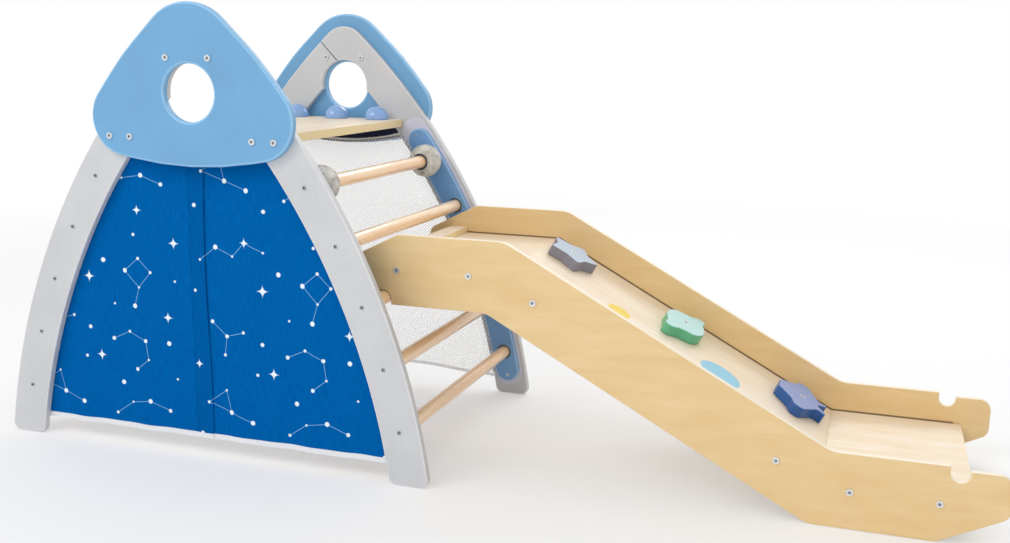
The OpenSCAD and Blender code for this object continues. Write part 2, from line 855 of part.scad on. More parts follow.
module star_hold() {
    inner = star_r * star_inner_share;
    hold(0, star_grey)
        polygon(rounded([for (i = [0:2 * star_points - 1])
            let (r = i % 2 == 0 ? star_r : inner, a = 180 * i / star_points + star_turn)
            [r * cos(a), r * sin(a), star_r * star_round_share]]));
}

module cloud_hold() {
    half = [for (share = cloud_shares) [share[0] * cloud_l / 2, share[1] * cloud_w / 2]];
    hold(1, cloud_mint)
        polygon(smoothed(with_turned(half), cloud_steps));
}

module shuttle_hold() {
    hold(2, shuttle_blue)
        rotate(-90)
            translate([0, -shuttle_l / 2])
                polygon(shuttle_outline);
}

module hold_bolts() {
    color(steel)
        for (s = hold_spots) {
            on_slope(s, hold_y)
                translate([0, 0, hold_t - bolt_head_h - slack])
                    fastener(bolt_head_d, bolt_head_h, bolt_d, hold_t + board_t - bolt_head_h - slack);
        }
}

module hold_tee_nuts() {
    color(steel)
        for (s = hold_spots) {
            on_slope(s, hold_y)
                translate([0, 0, -board_t - tee_flange_h])
                    difference() {
                        union() {
                            cylinder(h = tee_flange_h, d = nut_d * tee_flange_share);
                            cylinder(h = tee_flange_h + board_t, d = nut_d);
                        }
                        translate([0, 0, -over]) cylinder(h = board_t + 2 * bolt_d, d = bolt_d + 2 * slack);
                    }
        }
}

// Fasteners of the frame and the ramp

module nose_bolts() {
    lengths = [deck_bolt_l, nose_t + leg_t, nose_t + leg_t];
    color(steel)
        for (side = [-1, 1], hand = [-1, 1], i = [0:2]) {
            on_face(side, flip(nose_bolt_spots[i], hand), outer_y)
                fastener(bolt_head_d, bolt_head_h, bolt_d, lengths[i]);
        }
}

// Insert nuts: those over the deck have a head on the leg's inner face
module leg_insert_nuts() {
    color(steel)
        for (side = [-1, 1], hand = [-1, 1]) {
            on_face(side, flip(nose_bolt_spots[1], hand), leg_y)
                difference() {
                    cylinder(h = leg_t, d = nut_d);
                    translate([0, 0, -over]) cylinder(h = leg_t + 2 * over, d = bolt_d + 2 * slack);
                }
            on_face(side, flip(nose_bolt_spots[2], hand), leg_y)
                difference() {
                    rotate([180, 0, 0]) fastener(bolt_head_d, bolt_head_h, nut_d, leg_t);
                    cylinder(h = leg_t + over, d = bolt_d + 2 * slack);
                }
        }
}

// Barrel nut about its centre, with its thread hole along Y
module barrel_nut() {
    difference() {
        cylinder(h = barrel_l, d = nut_d, center = true);
        rotate([90, 0, 0]) cylinder(h = nut_d + 2 * over, d = bolt_d + 2 * slack, center = true);
    }
}

module deck_barrel_nuts() {
    color(steel)
        for (side = [-1, 1], hand = [-1, 1]) {
            translate([hand * inner_bolt_x + x_shift, side * (leg_y - barrel_in), deck_mid]) barrel_nut();
        }
}

module rung_screws() {
    color(steel)
        for (side = [-1, 1], hand = [-1, 1], spot = rung_spots) {
            on_face(side, flip(spot, hand), nose_y)
                fastener(screw_head_d, screw_head_h, screw_d, leg_t + screw_grip);
        }
}

module rail_screws() {
    color(steel)
        for (side = [-1, 1], hand = [-1, 1], spot = rail_screw_spots) {
            on_face(-side, flip(spot, hand), -rail_y)
                fastener(screw_head_d, screw_head_h, screw_d, rail_t + band_t + leg_t / 2);
        }
}

module ramp_bolts() {
    color(steel)
        for (spot = ramp_bolt_spots, side = [-1, 1]) {
            on_ramp(spot)
                translate([0, side * ramp_w / 2, 0])
                    rotate([-90 * side, 0, 0])
                        fastener(bolt_head_d, bolt_head_h, bolt_d, bolt_l);
        }
}

module ramp_barrel_nuts() {
    color(steel)
        for (i = [0:len(ramp_bolt_spots) - 1], side = [-1, 1]) {
            on_ramp(ramp_bolt_spots[i])
                rotate([0, ramp_bolt_tilts[i], 0])
                    translate([0, side * (ramp_inner_w / 2 - barrel_in), 0])
                        barrel_nut();
        }
}

nose_panel(-1);  // front_nose_panel
nose_panel(1);  // rear_nose_panel
leg(-1, -1, false);  // front_left_leg
leg(-1, 1, true);  // front_right_leg
leg(1, -1, true);  // rear_left_leg
leg(1, 1, false);  // rear_right_leg
rail(-1, -1);  // front_left_rail
rail(-1, 1);  // front_right_rail
rail(1, -1);  // rear_left_rail
rail(1, 1);  // rear_right_rail
band(-1, -1);  // front_left_band
band(-1, 1);  // front_right_band
band(1, -1);  // rear_left_band
band(1, 1);  // rear_right_band
for (i = [1:rungs_per_side]) {
    rung(-1, i);
    rung(1, i);
}
moon_ball(-1);  // front_moon_ball
moon_ball(1);  // rear_moon_ball
deck();
knob(-1);  // left_knob
knob(0);  // middle_knob
knob(1);  // right_knob
curtain_side(-1);  // left_curtain_side
curtain_flap(-1);  // left_curtain_flap
curtain_hem(-1);  // left_curtain_hem
curtain_side(1);  // right_curtain_side
curtain_flap(1);  // right_curtain_flap
curtain_hem(1);  // right_curtain_hem
mesh_panel();
mesh_hem();
ramp_side(-1);  // ramp_front_side
ramp_side(1);  // ramp_rear_side
landing(180);  // upper_landing
slope_board();
landing(0);  // lower_landing
batten(180);  // upper_batten
batten(0);  // lower_batten
star_hold();
cloud_hold();
shuttle_hold();
nose_bolts();
leg_insert_nuts();
deck_barrel_nuts();
rung_screws();
rail_screws();
knob_screws();
ramp_bolts();
ramp_barrel_nuts();
hold_bolts();
hold_tee_nuts();
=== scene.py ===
# %% [markdown]
# # A toddler climbing gym
# Two rocket-shaped wooden frames carry ladders, a deck, a curtain and a net, and a ramp hooks on
# to one ladder. The solids come from CAD and never move. Blender adds what they lack: eased edges,
# cloth that hangs, a net of real strands, printed stars, grain, paint and soft light.

# %% Load the solids
import json
from math import acos, cos, exp, hypot, pi, radians, sin, sqrt, tan

import bmesh
import bpy
from mathutils import Matrix, Vector
from mathutils.bvhtree import BVHTree

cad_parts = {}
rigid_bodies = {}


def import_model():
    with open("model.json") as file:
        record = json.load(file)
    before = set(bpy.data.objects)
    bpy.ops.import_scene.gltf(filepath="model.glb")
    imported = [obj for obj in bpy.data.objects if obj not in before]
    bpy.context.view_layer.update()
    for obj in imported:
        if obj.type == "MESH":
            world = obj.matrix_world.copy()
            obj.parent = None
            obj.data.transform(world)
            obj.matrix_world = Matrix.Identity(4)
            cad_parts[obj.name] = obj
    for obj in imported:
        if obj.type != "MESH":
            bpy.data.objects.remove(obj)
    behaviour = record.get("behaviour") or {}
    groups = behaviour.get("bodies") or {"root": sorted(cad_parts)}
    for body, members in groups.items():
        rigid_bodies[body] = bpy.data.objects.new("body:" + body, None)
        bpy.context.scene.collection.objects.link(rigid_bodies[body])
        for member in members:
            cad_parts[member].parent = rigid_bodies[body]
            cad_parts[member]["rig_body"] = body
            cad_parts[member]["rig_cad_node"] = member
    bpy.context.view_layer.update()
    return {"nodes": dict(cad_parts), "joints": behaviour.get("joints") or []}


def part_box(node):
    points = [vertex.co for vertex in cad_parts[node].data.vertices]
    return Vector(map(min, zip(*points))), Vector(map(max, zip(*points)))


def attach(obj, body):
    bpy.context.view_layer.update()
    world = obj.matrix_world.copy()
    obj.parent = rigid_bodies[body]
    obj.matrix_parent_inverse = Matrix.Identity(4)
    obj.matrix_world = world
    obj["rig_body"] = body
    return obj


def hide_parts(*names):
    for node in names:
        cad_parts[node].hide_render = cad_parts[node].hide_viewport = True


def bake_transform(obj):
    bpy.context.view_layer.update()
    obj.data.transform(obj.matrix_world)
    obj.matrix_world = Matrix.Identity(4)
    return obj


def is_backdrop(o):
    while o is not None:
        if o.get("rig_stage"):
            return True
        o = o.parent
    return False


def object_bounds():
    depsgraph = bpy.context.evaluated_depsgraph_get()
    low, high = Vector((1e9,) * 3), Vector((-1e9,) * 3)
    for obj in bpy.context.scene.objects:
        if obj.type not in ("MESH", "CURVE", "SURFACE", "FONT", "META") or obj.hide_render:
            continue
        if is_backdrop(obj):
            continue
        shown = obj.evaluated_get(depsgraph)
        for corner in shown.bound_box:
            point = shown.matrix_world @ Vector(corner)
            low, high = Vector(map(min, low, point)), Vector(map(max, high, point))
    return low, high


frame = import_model()
nodes = frame["nodes"]

# %% [markdown]
# ## Camera
# The picture was taken from the right of the curtain, a little above the deck. A camera could be
# aimed at the object's middle by a constraint, but a fitted camera has a small roll as well, so its
# three axes are worked out from yaw, pitch and roll, and become the columns of its matrix.

# %% Camera at the picture's viewing angle
PICTURE_WIDTH, FOCAL_PIXELS, SENSOR_MM = 1010, 1106, 36
EYE = Vector((0.8124, -2.392, 0.909))
yaw, pitch, roll = (radians(a) for a in (18.44, -11.28, -0.89))
forward = Vector((-sin(yaw) * cos(pitch), cos(yaw) * cos(pitch), sin(pitch)))
level = Vector((cos(yaw), sin(yaw), 0))
below = forward.cross(level)
right = cos(roll) * level + sin(roll) * below
up = sin(roll) * level - cos(roll) * below
turn = Matrix((right, up, -forward)).transposed()
bpy.ops.object.camera_add(location=EYE, rotation=turn.to_euler())
camera = bpy.context.active_object
camera.data.sensor_width = SENSOR_MM
camera.data.lens = FOCAL_PIXELS * SENSOR_MM / PICTURE_WIDTH
bpy.context.scene.camera = camera
print("camera with a lens of", round(camera.data.lens, 2), "mm")

# %% [markdown]
# ## Light, floor and backdrop
# A product picture on white has one broad light high on the camera's left, a weak low one beside
# the camera, one behind the object and a pale room all round. The floor is a large plane that fades
# to plain white far out, so that no horizon shows. Only rays that come from the camera, a gloss or
# a clear solid see that white.

# %% Lamps
TARGET = Vector((0, 0, 0.4))
# each softbox has a place, a width and a height in metres, and a power in watts
SOFTBOXES = {"key softbox": ((-2.2, -3.0, 3.4), 2.6, 2.0, 54),
             "fill softbox": ((0.7, -3.3, 0.9), 2.4, 1.4, 13),
             "back softbox": ((0.6, 3.2, 3.0), 3.0, 1.5, 45)}
for name, (place, width, height, power) in SOFTBOXES.items():
    aim = (TARGET - Vector(place)).to_track_quat("-Z", "Y").to_euler()
    bpy.ops.object.light_add(type="AREA", location=place, rotation=aim)
    lamp = bpy.context.active_object
    lamp.name = name
    lamp.data.shape = "RECTANGLE"
    lamp.data.size, lamp.data.size_y, lamp.data.energy = width, height, power
print("lamps", ", ".join(SOFTBOXES))


# %% Helpers for node trees
def plug(value, socket):
    """Links a socket to another one, or sets it to a plain value."""
    if isinstance(value, bpy.types.NodeSocket):
        socket.id_data.links.new(value, socket)
    else:
        socket.default_value = value


def add(kind, *inputs, tree=None, **settings):
    """Adds a shader node to a tree, or else to the tree that its first link comes from.

    Plain arguments go into its inputs in order, named ones into sockets or options.
    """
    links = [v for v in (*inputs, *settings.values()) if isinstance(v, bpy.types.NodeSocket)]
    node = (tree or links[0].id_data).nodes.new("ShaderNode" + kind)
    for key, value in settings.items():
        if key in node.inputs:
            plug(value, node.inputs[key])
        else:
            setattr(node, key, value)
    for value, socket in zip(inputs, node.inputs):
        plug(value, socket)
    return node


def calc(operation, *inputs):
    """A sum on numbers."""
    return add("Math", *inputs, operation=operation).outputs[0]


def vector(operation, *inputs, **settings):
    """A sum on vectors."""
    return add("VectorMath", *inputs, operation=operation, **settings).outputs[0]


def measure(operation, *inputs):
    """A number taken from vectors, such as a length or a distance."""
    return add("VectorMath", *inputs, operation=operation).outputs["Value"]


def axes(place):
    """The three parts of a vector."""
    return add("SeparateXYZ", place).outputs


def spread(value, low, high, to_low, to_high):
    """Maps a value from one range to another and holds it at the ends."""
    return add("MapRange", value, low, high, to_low, to_high).outputs[0]


def noise(place, stretch=None, **settings):
    """A noise, with a scale of its own along each axis."""
    if stretch:
        place = add("Mapping", place, Scale=stretch).outputs[0]
    return add("TexNoise", place, **settings).outputs[0]


# %% Helpers for colours and finishes
def linear(code):
    """The linear colour of a web colour such as #7aadde."""
    parts = [int(code[i:i + 2], 16) / 255 for i in (1, 3, 5)]
    return [p / 12.92 if p <= 0.04045 else ((p + 0.055) / 1.055) ** 2.4 for p in parts] + [1]


def shaded(code, share):
    """A web colour made darker or paler by a share."""
    return [min(1, c * share) for c in linear(code)[:3]] + [1]


def blend_colours(share, first, second):
    """first where share is 0 and second where it is 1, each a socket, a linear colour or a web colour."""
    mix = add("Mix", share, data_type="RGBA")
    for colour, socket in ((first, mix.inputs[6]), (second, mix.inputs[7])):
        plug(linear(colour) if isinstance(colour, str) else colour, socket)
    return mix.outputs[2]


def tones(value, low, high, first, second):
    """Goes from one colour to another as a value goes from low to high."""
    return blend_colours(spread(value, low, high, 0, 1), first, second)


def shader_of(finish):
    """The shader that a new material comes with."""
    return finish.node_tree.nodes["Principled BSDF"]


def new_finish(name, **sockets):
    """A material whose shader has these plain values."""
    finish = bpy.data.materials.new(name)
    finish.use_nodes = True
    for key, value in sockets.items():
        plug(value, shader_of(finish).inputs[key.replace("_", " ")])
    return finish


def object_place(finish):
    """A point's place on its piece, in metres."""
    return add("TexCoord", tree=finish.node_tree).outputs["Object"]


def surface(finish, colour, height, strength, depth, dull=None):
    """Gives a finish its colour, its bumps and, where it varies, its roughness."""
    sockets = shader_of(finish).inputs
    plug(colour, sockets["Base Color"])
    if dull is not None:
        plug(dull, sockets["Roughness"])
    plug(add("Bump", Strength=strength, Distance=depth, Height=height).outputs[0], sockets["Normal"])
    return finish


# %% Floor and world
FLOOR_SIZE, FLOOR_GAP, FLOOR_CUTS = 30.0, 0.0005, 8
FLOOR_FADE, NEAR_WHITE, ROOM_LIGHT = (2.2, 4.6), 0.35, 0.75
PLAIN_WHITE, FLOOR_WHITE = (1, 1, 1, 1), (0.92, 0.92, 0.92, 1)


def seen_directly(tree):
    """One for rays that come from the camera, a gloss or a clear solid."""
    rays = add("LightPath", tree=tree).outputs
    seen = calc("MAXIMUM", rays["Is Camera Ray"], rays["Is Glossy Ray"])
    return calc("MAXIMUM", seen, rays["Is Transmission Ray"])


bpy.ops.mesh.primitive_plane_add(size=FLOOR_SIZE, location=(0, 0, -FLOOR_GAP))
floor = bpy.context.active_object
floor.name = "floor"
bpy.ops.object.mode_set(mode="EDIT")
bpy.ops.mesh.subdivide(number_cuts=FLOOR_CUTS)
bpy.ops.object.mode_set(mode="OBJECT")
finish = new_finish("pale floor", Base_Color=FLOOR_WHITE, Roughness=0.7)
tree = finish.node_tree
fade = spread(measure("LENGTH", object_place(finish)), *FLOOR_FADE, NEAR_WHITE, 1)
white = add("Emission", tree=tree, Color=PLAIN_WHITE, Strength=1)
share = calc("MULTIPLY", fade, seen_directly(tree))
blended = add("MixShader", share, shader_of(finish).outputs[0], white.outputs[0])
plug(blended.outputs[0], tree.nodes["Material Output"].inputs[0])
floor.data.materials.append(finish)
floor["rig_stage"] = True

world = bpy.data.worlds.new("pale room")
world.use_nodes = True
tree = world.node_tree
room = tree.nodes["Background"]
plug(PLAIN_WHITE, room.inputs["Color"])
plug(spread(seen_directly(tree), 0, 1, ROOM_LIGHT, 1), room.inputs["Strength"])
bpy.context.scene.world = world
bpy.context.scene.view_settings.view_transform = "Standard"
print("floor fades to white from", FLOOR_FADE[0], "to", FLOOR_FADE[1], "m")

# %% [markdown]
# ## Painted wood
# The nose panels, legs and rails are painted boards. Satin paint on wood has a faint skin like
# orange peel, shows the grain a little, and wears paler on its edges. A noise stretched along the
# board stands for the grain, and a fine noise for the skin. The edge gets a paler paint of its own,
# which the bevel puts on the faces that it makes: partly the wear, and partly a painted highlight
# for the light that the rounded edges catch.

# %% Paint finishes
GRAIN_STRETCH, GRAIN_SHARE, UNEVEN = (30, 30, 3), 0.15, 0.04
SKIN_SCALE, SKIN_DEPTH, PATCHY = 420, 0.0002, 0.06


def painted(name, code, roughness=0.42, coat=0.1):
    """Satin paint with a little grain and a skin."""
    finish = new_finish(name, Coat_Weight=coat, Coat_Roughness=0.25)
    place = object_place(finish)
    lines = noise(place, GRAIN_STRETCH, Scale=4, Detail=4)
    cloudy = noise(place, Scale=7, Detail=3)
    share = calc("ADD", calc("MULTIPLY", lines, GRAIN_SHARE),
                 calc("MULTIPLY", cloudy, 1 - GRAIN_SHARE))
    colour = tones(share, 0.36, 0.64, shaded(code, 1 - UNEVEN), shaded(code, 1 + UNEVEN))
    dull = spread(cloudy, 0.3, 0.7, roughness - PATCHY, roughness + PATCHY)
    skin = noise(place, Scale=SKIN_SCALE, Detail=2)
    height = calc("ADD", calc("MULTIPLY", lines, 0.6), skin)
    return surface(finish, colour, height, 0.22, SKIN_DEPTH, dull)


# each rim paint is paler for wear and also as a painted highlight on the rounded edges
sky_paint, sky_rim = painted("sky blue paint", "#6ca3cd"), painted("sky blue rim", "#88bbe0")
leg_paint, leg_rim = painted("light grey paint", "#c8c9cb"), painted("light grey rim", "#d8d8da")
rail_paint, rail_rim = painted("rail blue paint", "#6f9ecf"), painted("rail blue rim", "#90b8e0")
# a dark paint stands in for the shadow in gaps: round the rungs, in the legs' seams, in the ramp's hooks and
# in the balls' bores
painted_gap_shadow = painted("bare socket edge", "#39414e", roughness=0.7, coat=0)
print("paints", [m.name for m in bpy.data.materials if "paint" in m.name])

# %% [markdown]
# ## Eased edges
# Every board has its edges rounded by a router. The CAD boards are sharp, and their meshes are loose
# triangles, so a copy is merged, its flat faces are dissolved into large ones, and only the long
# sharp edges are bevelled: bolt holes stay crisp. A weighted normal keeps the flat faces flat. The
# sockets in which the rungs sit get a narrow rim painted dark as the shadow in the gap round each
# rung, and the faces where the two legs of a frame meet are painted dark as the shadow in their seam.

# %% Helpers for pieces
MERGE, FLAT_ANGLE, SHARP_ANGLE = 0.00002, radians(0.4), radians(38)


def pick(piece):
    """Makes one piece the only selected and the active one."""
    bpy.ops.object.select_all(action="DESELECT")
    piece.select_set(True)
    bpy.context.view_layer.objects.active = piece


def edit(piece):
    """Goes into edit mode on one piece, with all of it selected."""
    pick(piece)
    bpy.ops.object.mode_set(mode="EDIT")
    bpy.ops.mesh.select_all(action="SELECT")


def made(name):
    """Names the piece that was made last."""
    piece = bpy.context.active_object
    piece.name = piece.data.name = name
    return piece


def apply_modifier(piece, kind, **settings):
    """Adds a modifier with these settings and applies it."""
    pick(piece)
    modifier = piece.modifiers.new(kind.lower(), kind)
    for key, value in settings.items():
        setattr(modifier, key, value)
    bpy.ops.object.modifier_apply(modifier=modifier.name)


def dress(piece, slot, *finishes):
    """Gives a piece its finishes. The slot is not used."""
    piece.data.materials.clear()
    for finish in finishes:
        piece.data.materials.append(finish)


def joined_groups(items, neighbours):
    """Splits edges or faces into groups that hang together."""
    left = set(items)
    while left:
        group, reach = [], [left.pop()]
        while reach:
            item = reach.pop()
            group.append(item)
            joined = neighbours(item) & left
            left -= joined
            reach += joined
        yield group


# %% Copies with eased edges
def select_rims(piece, smallest, largest):
    """In edit mode, selects the groups of joined sharp edges whose width lies between two sizes."""
    mesh = bmesh.from_edit_mesh(piece.data)
    sharp = [e for e in mesh.edges if len(e.link_faces) == 2 and e.calc_face_angle(0) > SHARP_ANGLE]
    for group in joined_groups(sharp, lambda edge: {e for v in edge.verts for e in v.link_edges}):
        spots = [v.co for e in group for v in e.verts]
        width = max(max(p[i] for p in spots) - min(p[i] for p in spots) for i in range(3))
        for edge in group:
            edge.select_set(smallest < width < largest)
    bmesh.update_edit_mesh(piece.data)


def copy_of(node, name):
    """A merged copy of a CAD node's mesh, which stands for that node."""
    source = nodes[node]
    pick(source)
    bpy.ops.object.duplicate()
    piece = made(name)
    del piece["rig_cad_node"]
    bpy.ops.object.parent_clear(type="CLEAR_KEEP_TRANSFORM")
    bpy.ops.mesh.customdata_custom_splitnormals_clear()
    edit(piece)
    bpy.ops.mesh.remove_doubles(threshold=MERGE)
    bpy.ops.mesh.dissolve_limited(angle_limit=FLAT_ANGLE)
    bpy.ops.object.mode_set(mode="OBJECT")
    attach(piece, source["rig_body"])
    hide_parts(node)
    return piece


def bevel_rims(piece, rim, segments, finish, smallest, largest=10.0):
    """Rounds the edges of a chosen width and puts the finish of that number on them."""
    edit(piece)
    bpy.ops.mesh.select_mode(type="EDGE")
    bpy.ops.mesh.select_all(action="DESELECT")
    select_rims(piece, smallest, largest)
    bpy.ops.mesh.bevel(offset=rim, segments=segments, clamp_overlap=True, material=finish)
    bpy.ops.object.mode_set(mode="OBJECT")


def eased(node, rim, slot, finish, rim_finish, smallest=0.03, segments=3):
    """A copy of a CAD node with its long edges rounded."""
    piece = copy_of(node, node + "_eased")
    dress(piece, slot, finish, rim_finish)
    bevel_rims(piece, rim, segments, 1, smallest)
    bpy.ops.object.shade_smooth_by_angle(angle=SHARP_ANGLE)
    apply_modifier(piece, "WEIGHTED_NORMAL", keep_sharp=True)
    return piece


def shade_joint(piece, node, reach, finish):
    """Adds a finish and puts it on the faces that lie close to another node."""
    solid = nodes[node].data
    faces = [tuple(p.vertices) for p in solid.polygons]
    shell = BVHTree.FromPolygons([v.co for v in solid.vertices], faces)
    piece.data.materials.append(finish)
    number, dark = len(piece.data.materials) - 1, 0
    for face in piece.data.polygons:
        if shell.find_nearest(face.center, reach)[0] is not None:
            face.material_index = number
            dark += 1
    return dark


# %% Nose panels, legs and rails
NOSE_RIM, LEG_RIM, RAIL_RIM, RAIL_SMALLEST = 0.005, 0.003, 0.003, 0.1
SOCKET_RIM, SOCKET_WIDTHS, JOINT_REACH = 0.0014, (0.025, 0.06), 0.0009
OTHER_HAND = {"left": "right", "right": "left"}
for end in ("front", "rear"):
    eased(end + "_nose_panel", NOSE_RIM, "nose_paint", sky_paint, sky_rim, segments=4)
    for hand in OTHER_HAND:
        leg = eased(f"{end}_{hand}_leg", LEG_RIM, "leg_paint", leg_paint, leg_rim)
        # the faces where the two legs meet, and the rims of the rung sockets, get the painted gap shadow
        dark = shade_joint(leg, f"{end}_{OTHER_HAND[hand]}_leg", JOINT_REACH, painted_gap_shadow)
        rail = eased(f"{end}_{hand}_rail", RAIL_RIM, "rail_paint", rail_paint, rail_rim,
                     smallest=RAIL_SMALLEST)
        rail.data.materials.append(painted_gap_shadow)
        bevel_rims(rail, SOCKET_RIM, 1, 2, *SOCKET_WIDTHS)
        print(end, hand, "leg has", dark, "dark faces, and the rail has", len(rail.data.polygons), "faces")

# %% [markdown]
# ## Birch plywood
# The ramp's sides, its boards, the deck and the battens are clear birch plywood. A sheet shows a
# soft wavy figure on its faces and pale stacked plies on its edges. One finish can hold both: it
# asks how far a face looks along the sheet's thickness, and takes the figure or the plies. The slope
# has its own turn, so that its grain and its printed discs run downhill. Where the boards meet the
# sides, the shadow in the thin gap between them is painted as a dark line.

# %% Where the ramp bends
SLOPE, BOARD, JOINT = radians(28.3), 0.015, 0.0026
CORNER_STOP = 8 * JOINT
low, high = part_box("slope_board")
ramp_middle, board_half = (low + high) / 2, high.y
half_run = (high.x - low.x) / 2 - BOARD / 2 * tan(SLOPE / 2)
upper_bend = ramp_middle + Vector((-half_run, 0, half_run * tan(SLOPE)))
lower_bend = ramp_middle * 2 - upper_bend
starts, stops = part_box("upper_landing")[0].x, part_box("lower_landing")[1].x - CORNER_STOP
corner = [Vector((starts, 0, upper_bend.z)), upper_bend, lower_bend, Vector((stops, 0, lower_bend.z))]
lift = (BOARD + JOINT) / 2
corner = [(p.x + lift * tan(SLOPE / 2), 0, p.z + lift) for p in corner]
print("slope starts at", tuple(round(c, 4) for c in upper_bend))


# %% Helpers for lines, joints and discs
# the joint colour is a painted shadow in the thin gap between a board and a side
JOINT_CORE, JOINT_DARK, JOINT_SHADOW_BROWN, DISC_BLUR = 0.6 * JOINT, 0.85, "#5f421f", 0.0006
DOWNHILL, ACROSS, UP = range(3)


def lowest(values):
    """The least of several sockets."""
    least = values[0]
    for value in values[1:]:
        least = calc("MINIMUM", least, value)
    return least


def from_segment(place, start, end):
    """Distance from a line between two points."""
    along = Vector(end) - Vector(start)
    out = vector("SUBTRACT", place, start)
    share = measure("DOT_PRODUCT", out, along / along.length_squared)
    nearest = vector("SCALE", tuple(along), Scale=add("Clamp", share).outputs[0])
    return measure("DISTANCE", out, nearest)


def joint_shade(place, joint, corner):
    """How much painted shadow a sheet has near a joint, at a distance from the middle or along the points of
    a corner.
    """
    across = calc("ABSOLUTE", axes(place)[ACROSS])
    if not corner:
        return spread(across, joint - JOINT, joint - JOINT_CORE, 0, JOINT_DARK)
    flat = vector("MULTIPLY", place, (1, 0, 1))
    near = lowest([from_segment(flat, a, b) for a, b in zip(corner, corner[1:])])
    return calc("MULTIPLY", spread(near, JOINT_CORE, JOINT, JOINT_DARK, 0),
                calc("LESS_THAN", across, joint + JOINT))


def print_discs(colour, place, looks, discs):
    """Prints discs of colour on the top of a sheet."""
    flat = vector("MULTIPLY", place, (1, 1, 0))
    for s, y, radius, code in discs:
        away = measure("DISTANCE", flat, (s, y, 0))
        inside = calc("MULTIPLY", spread(away, radius - DISC_BLUR, radius + DISC_BLUR, 1, 0),
                      calc("GREATER_THAN", looks, 0.5))
        colour = blend_colours(inside, colour, code)
    return colour


# %% Birch finishes
PLY, FIGURE, PORES = 0.0021, (2.6, 14), (14, 260)
FIGURE_SET = {"Scale": 2.2, "Detail": 6, "Roughness": 0.6, "Distortion": 0.6}
FIGURE_DEEP, FIGURE_MIDDLE, FIGURE_PALE = 0.3, 0.52, 0.72
# the figure's deep, middle and pale tone, and the edge's plies and glue lines
GOLDEN = ("#debd86", "#e2c48f", "#e7cb9a", "#f8eeda", "#e8d5b0")
CREAM = ("#efd8b8", "#f5e4cb", "#faeede", "#f4dfae", "#dfc28c")
# each disc has a place downhill and across, a radius and a colour
DISCS = ((0.238, -0.003, 0.0284, "#f4d23c"), (0.501, 0.007, 0.0503, "#8ccde6"))


def grown(grain, along, across):
    """A scale along the grain's axis, and another across it."""
    return [along if axis == grain else across for axis in (DOWNHILL, ACROSS, UP)]


def birch(name, colours, through, grain=DOWNHILL, tilt=0.0, joint=None, corner=(), discs=()):
    """Plywood through one axis, with its grain along another, turned about Y by a tilt."""
    deep, middle, pale, edge, glue = colours
    finish = new_finish(name, Coat_Weight=0.15, Coat_Roughness=0.3)
    coordinates = add("TexCoord", tree=finish.node_tree).outputs
    place = add("Mapping", coordinates["Object"], vector_type="TEXTURE",
                Location=upper_bend if tilt else (0, 0, 0), Rotation=(0, tilt, 0)).outputs[0]
    facing = add("Mapping", coordinates["Normal"], vector_type="VECTOR", Rotation=(0, -tilt, 0))
    looks = axes(facing.outputs[0])[through]
    figure = noise(place, grown(grain, *FIGURE), **FIGURE_SET)
    pores = noise(place, grown(grain, *PORES), Scale=1, Detail=2)
    tone = add("ValToRGB", figure)
    steps = tone.color_ramp.elements
    steps[0].position, steps[1].position = FIGURE_DEEP, FIGURE_PALE
    steps[0].color, steps[1].color = linear(deep), linear(pale)
    steps.new(FIGURE_MIDDLE).color = linear(middle)
    colour = blend_colours(spread(pores, 0.5, 0.78, 0, 0.45), tone.outputs[0], deep)
    if discs:
        colour = print_discs(colour, place, looks, discs)
    if joint:
        colour = blend_colours(joint_shade(place, joint, corner), colour, JOINT_SHADOW_BROWN)
    plies = calc("SINE", calc("MULTIPLY", axes(place)[through], 2 * pi / PLY))
    edge_colour = blend_colours(spread(plies, 0.2, 1, 0, 0.8), edge, glue)
    colour = tones(calc("ABSOLUTE", looks), 0.55, 0.85, edge_colour, colour)
    dull = spread(figure, 0.3, 0.7, 0.5, 0.38)
    return surface(finish, colour, pores, 0.18, 0.0002, dull)


side_birch = birch("golden birch", GOLDEN, ACROSS, joint=board_half, corner=corner)
deck_birch = birch("cream birch", CREAM, UP, grain=ACROSS)
board_birch = birch("cream birch with joint shadows", CREAM, UP, joint=board_half)
slope_birch = birch("cream birch with discs", CREAM, UP, tilt=SLOPE, joint=board_half, discs=DISCS)
print("birch finishes", [m.name for m in bpy.data.materials if "birch" in m.name])

# %% Ramp sides, boards, battens and deck
SIDE_RIM, BOARD_RIM = 0.0022, 0.001
for end in ("front", "rear"):
    side = eased(f"ramp_{end}_side", SIDE_RIM, "birch_ply", side_birch, side_birch)
    # the hook's rim round the rung gets the dark paint that stands in for the shadow in the gap
    ringed = shade_joint(side, "right_rung_3", 2 * JOINT_REACH, painted_gap_shadow)
for node, finish in (("deck", deck_birch), ("upper_landing", board_birch), ("lower_landing", board_birch),
                     ("upper_batten", deck_birch), ("lower_batten", deck_birch),
                     ("slope_board", slope_birch)):
    eased(node, BOARD_RIM, "pale_birch", finish, finish)
print("plywood eased by", SIDE_RIM, "and", BOARD_RIM, "m, with", ringed, "dark faces in each hook")

# %% [markdown]
# ## Beech rungs
# A rung is a turned beech dowel under clear lacquer. Its solid already has the right shape, so it
# stays and gets a finish alone: long pale streaks along the dowel, and the short dark flecks by
# which beech is known.

# %% Rungs
STREAKS, FLECKS = (70, 2.4, 70), (420, 42, 420)


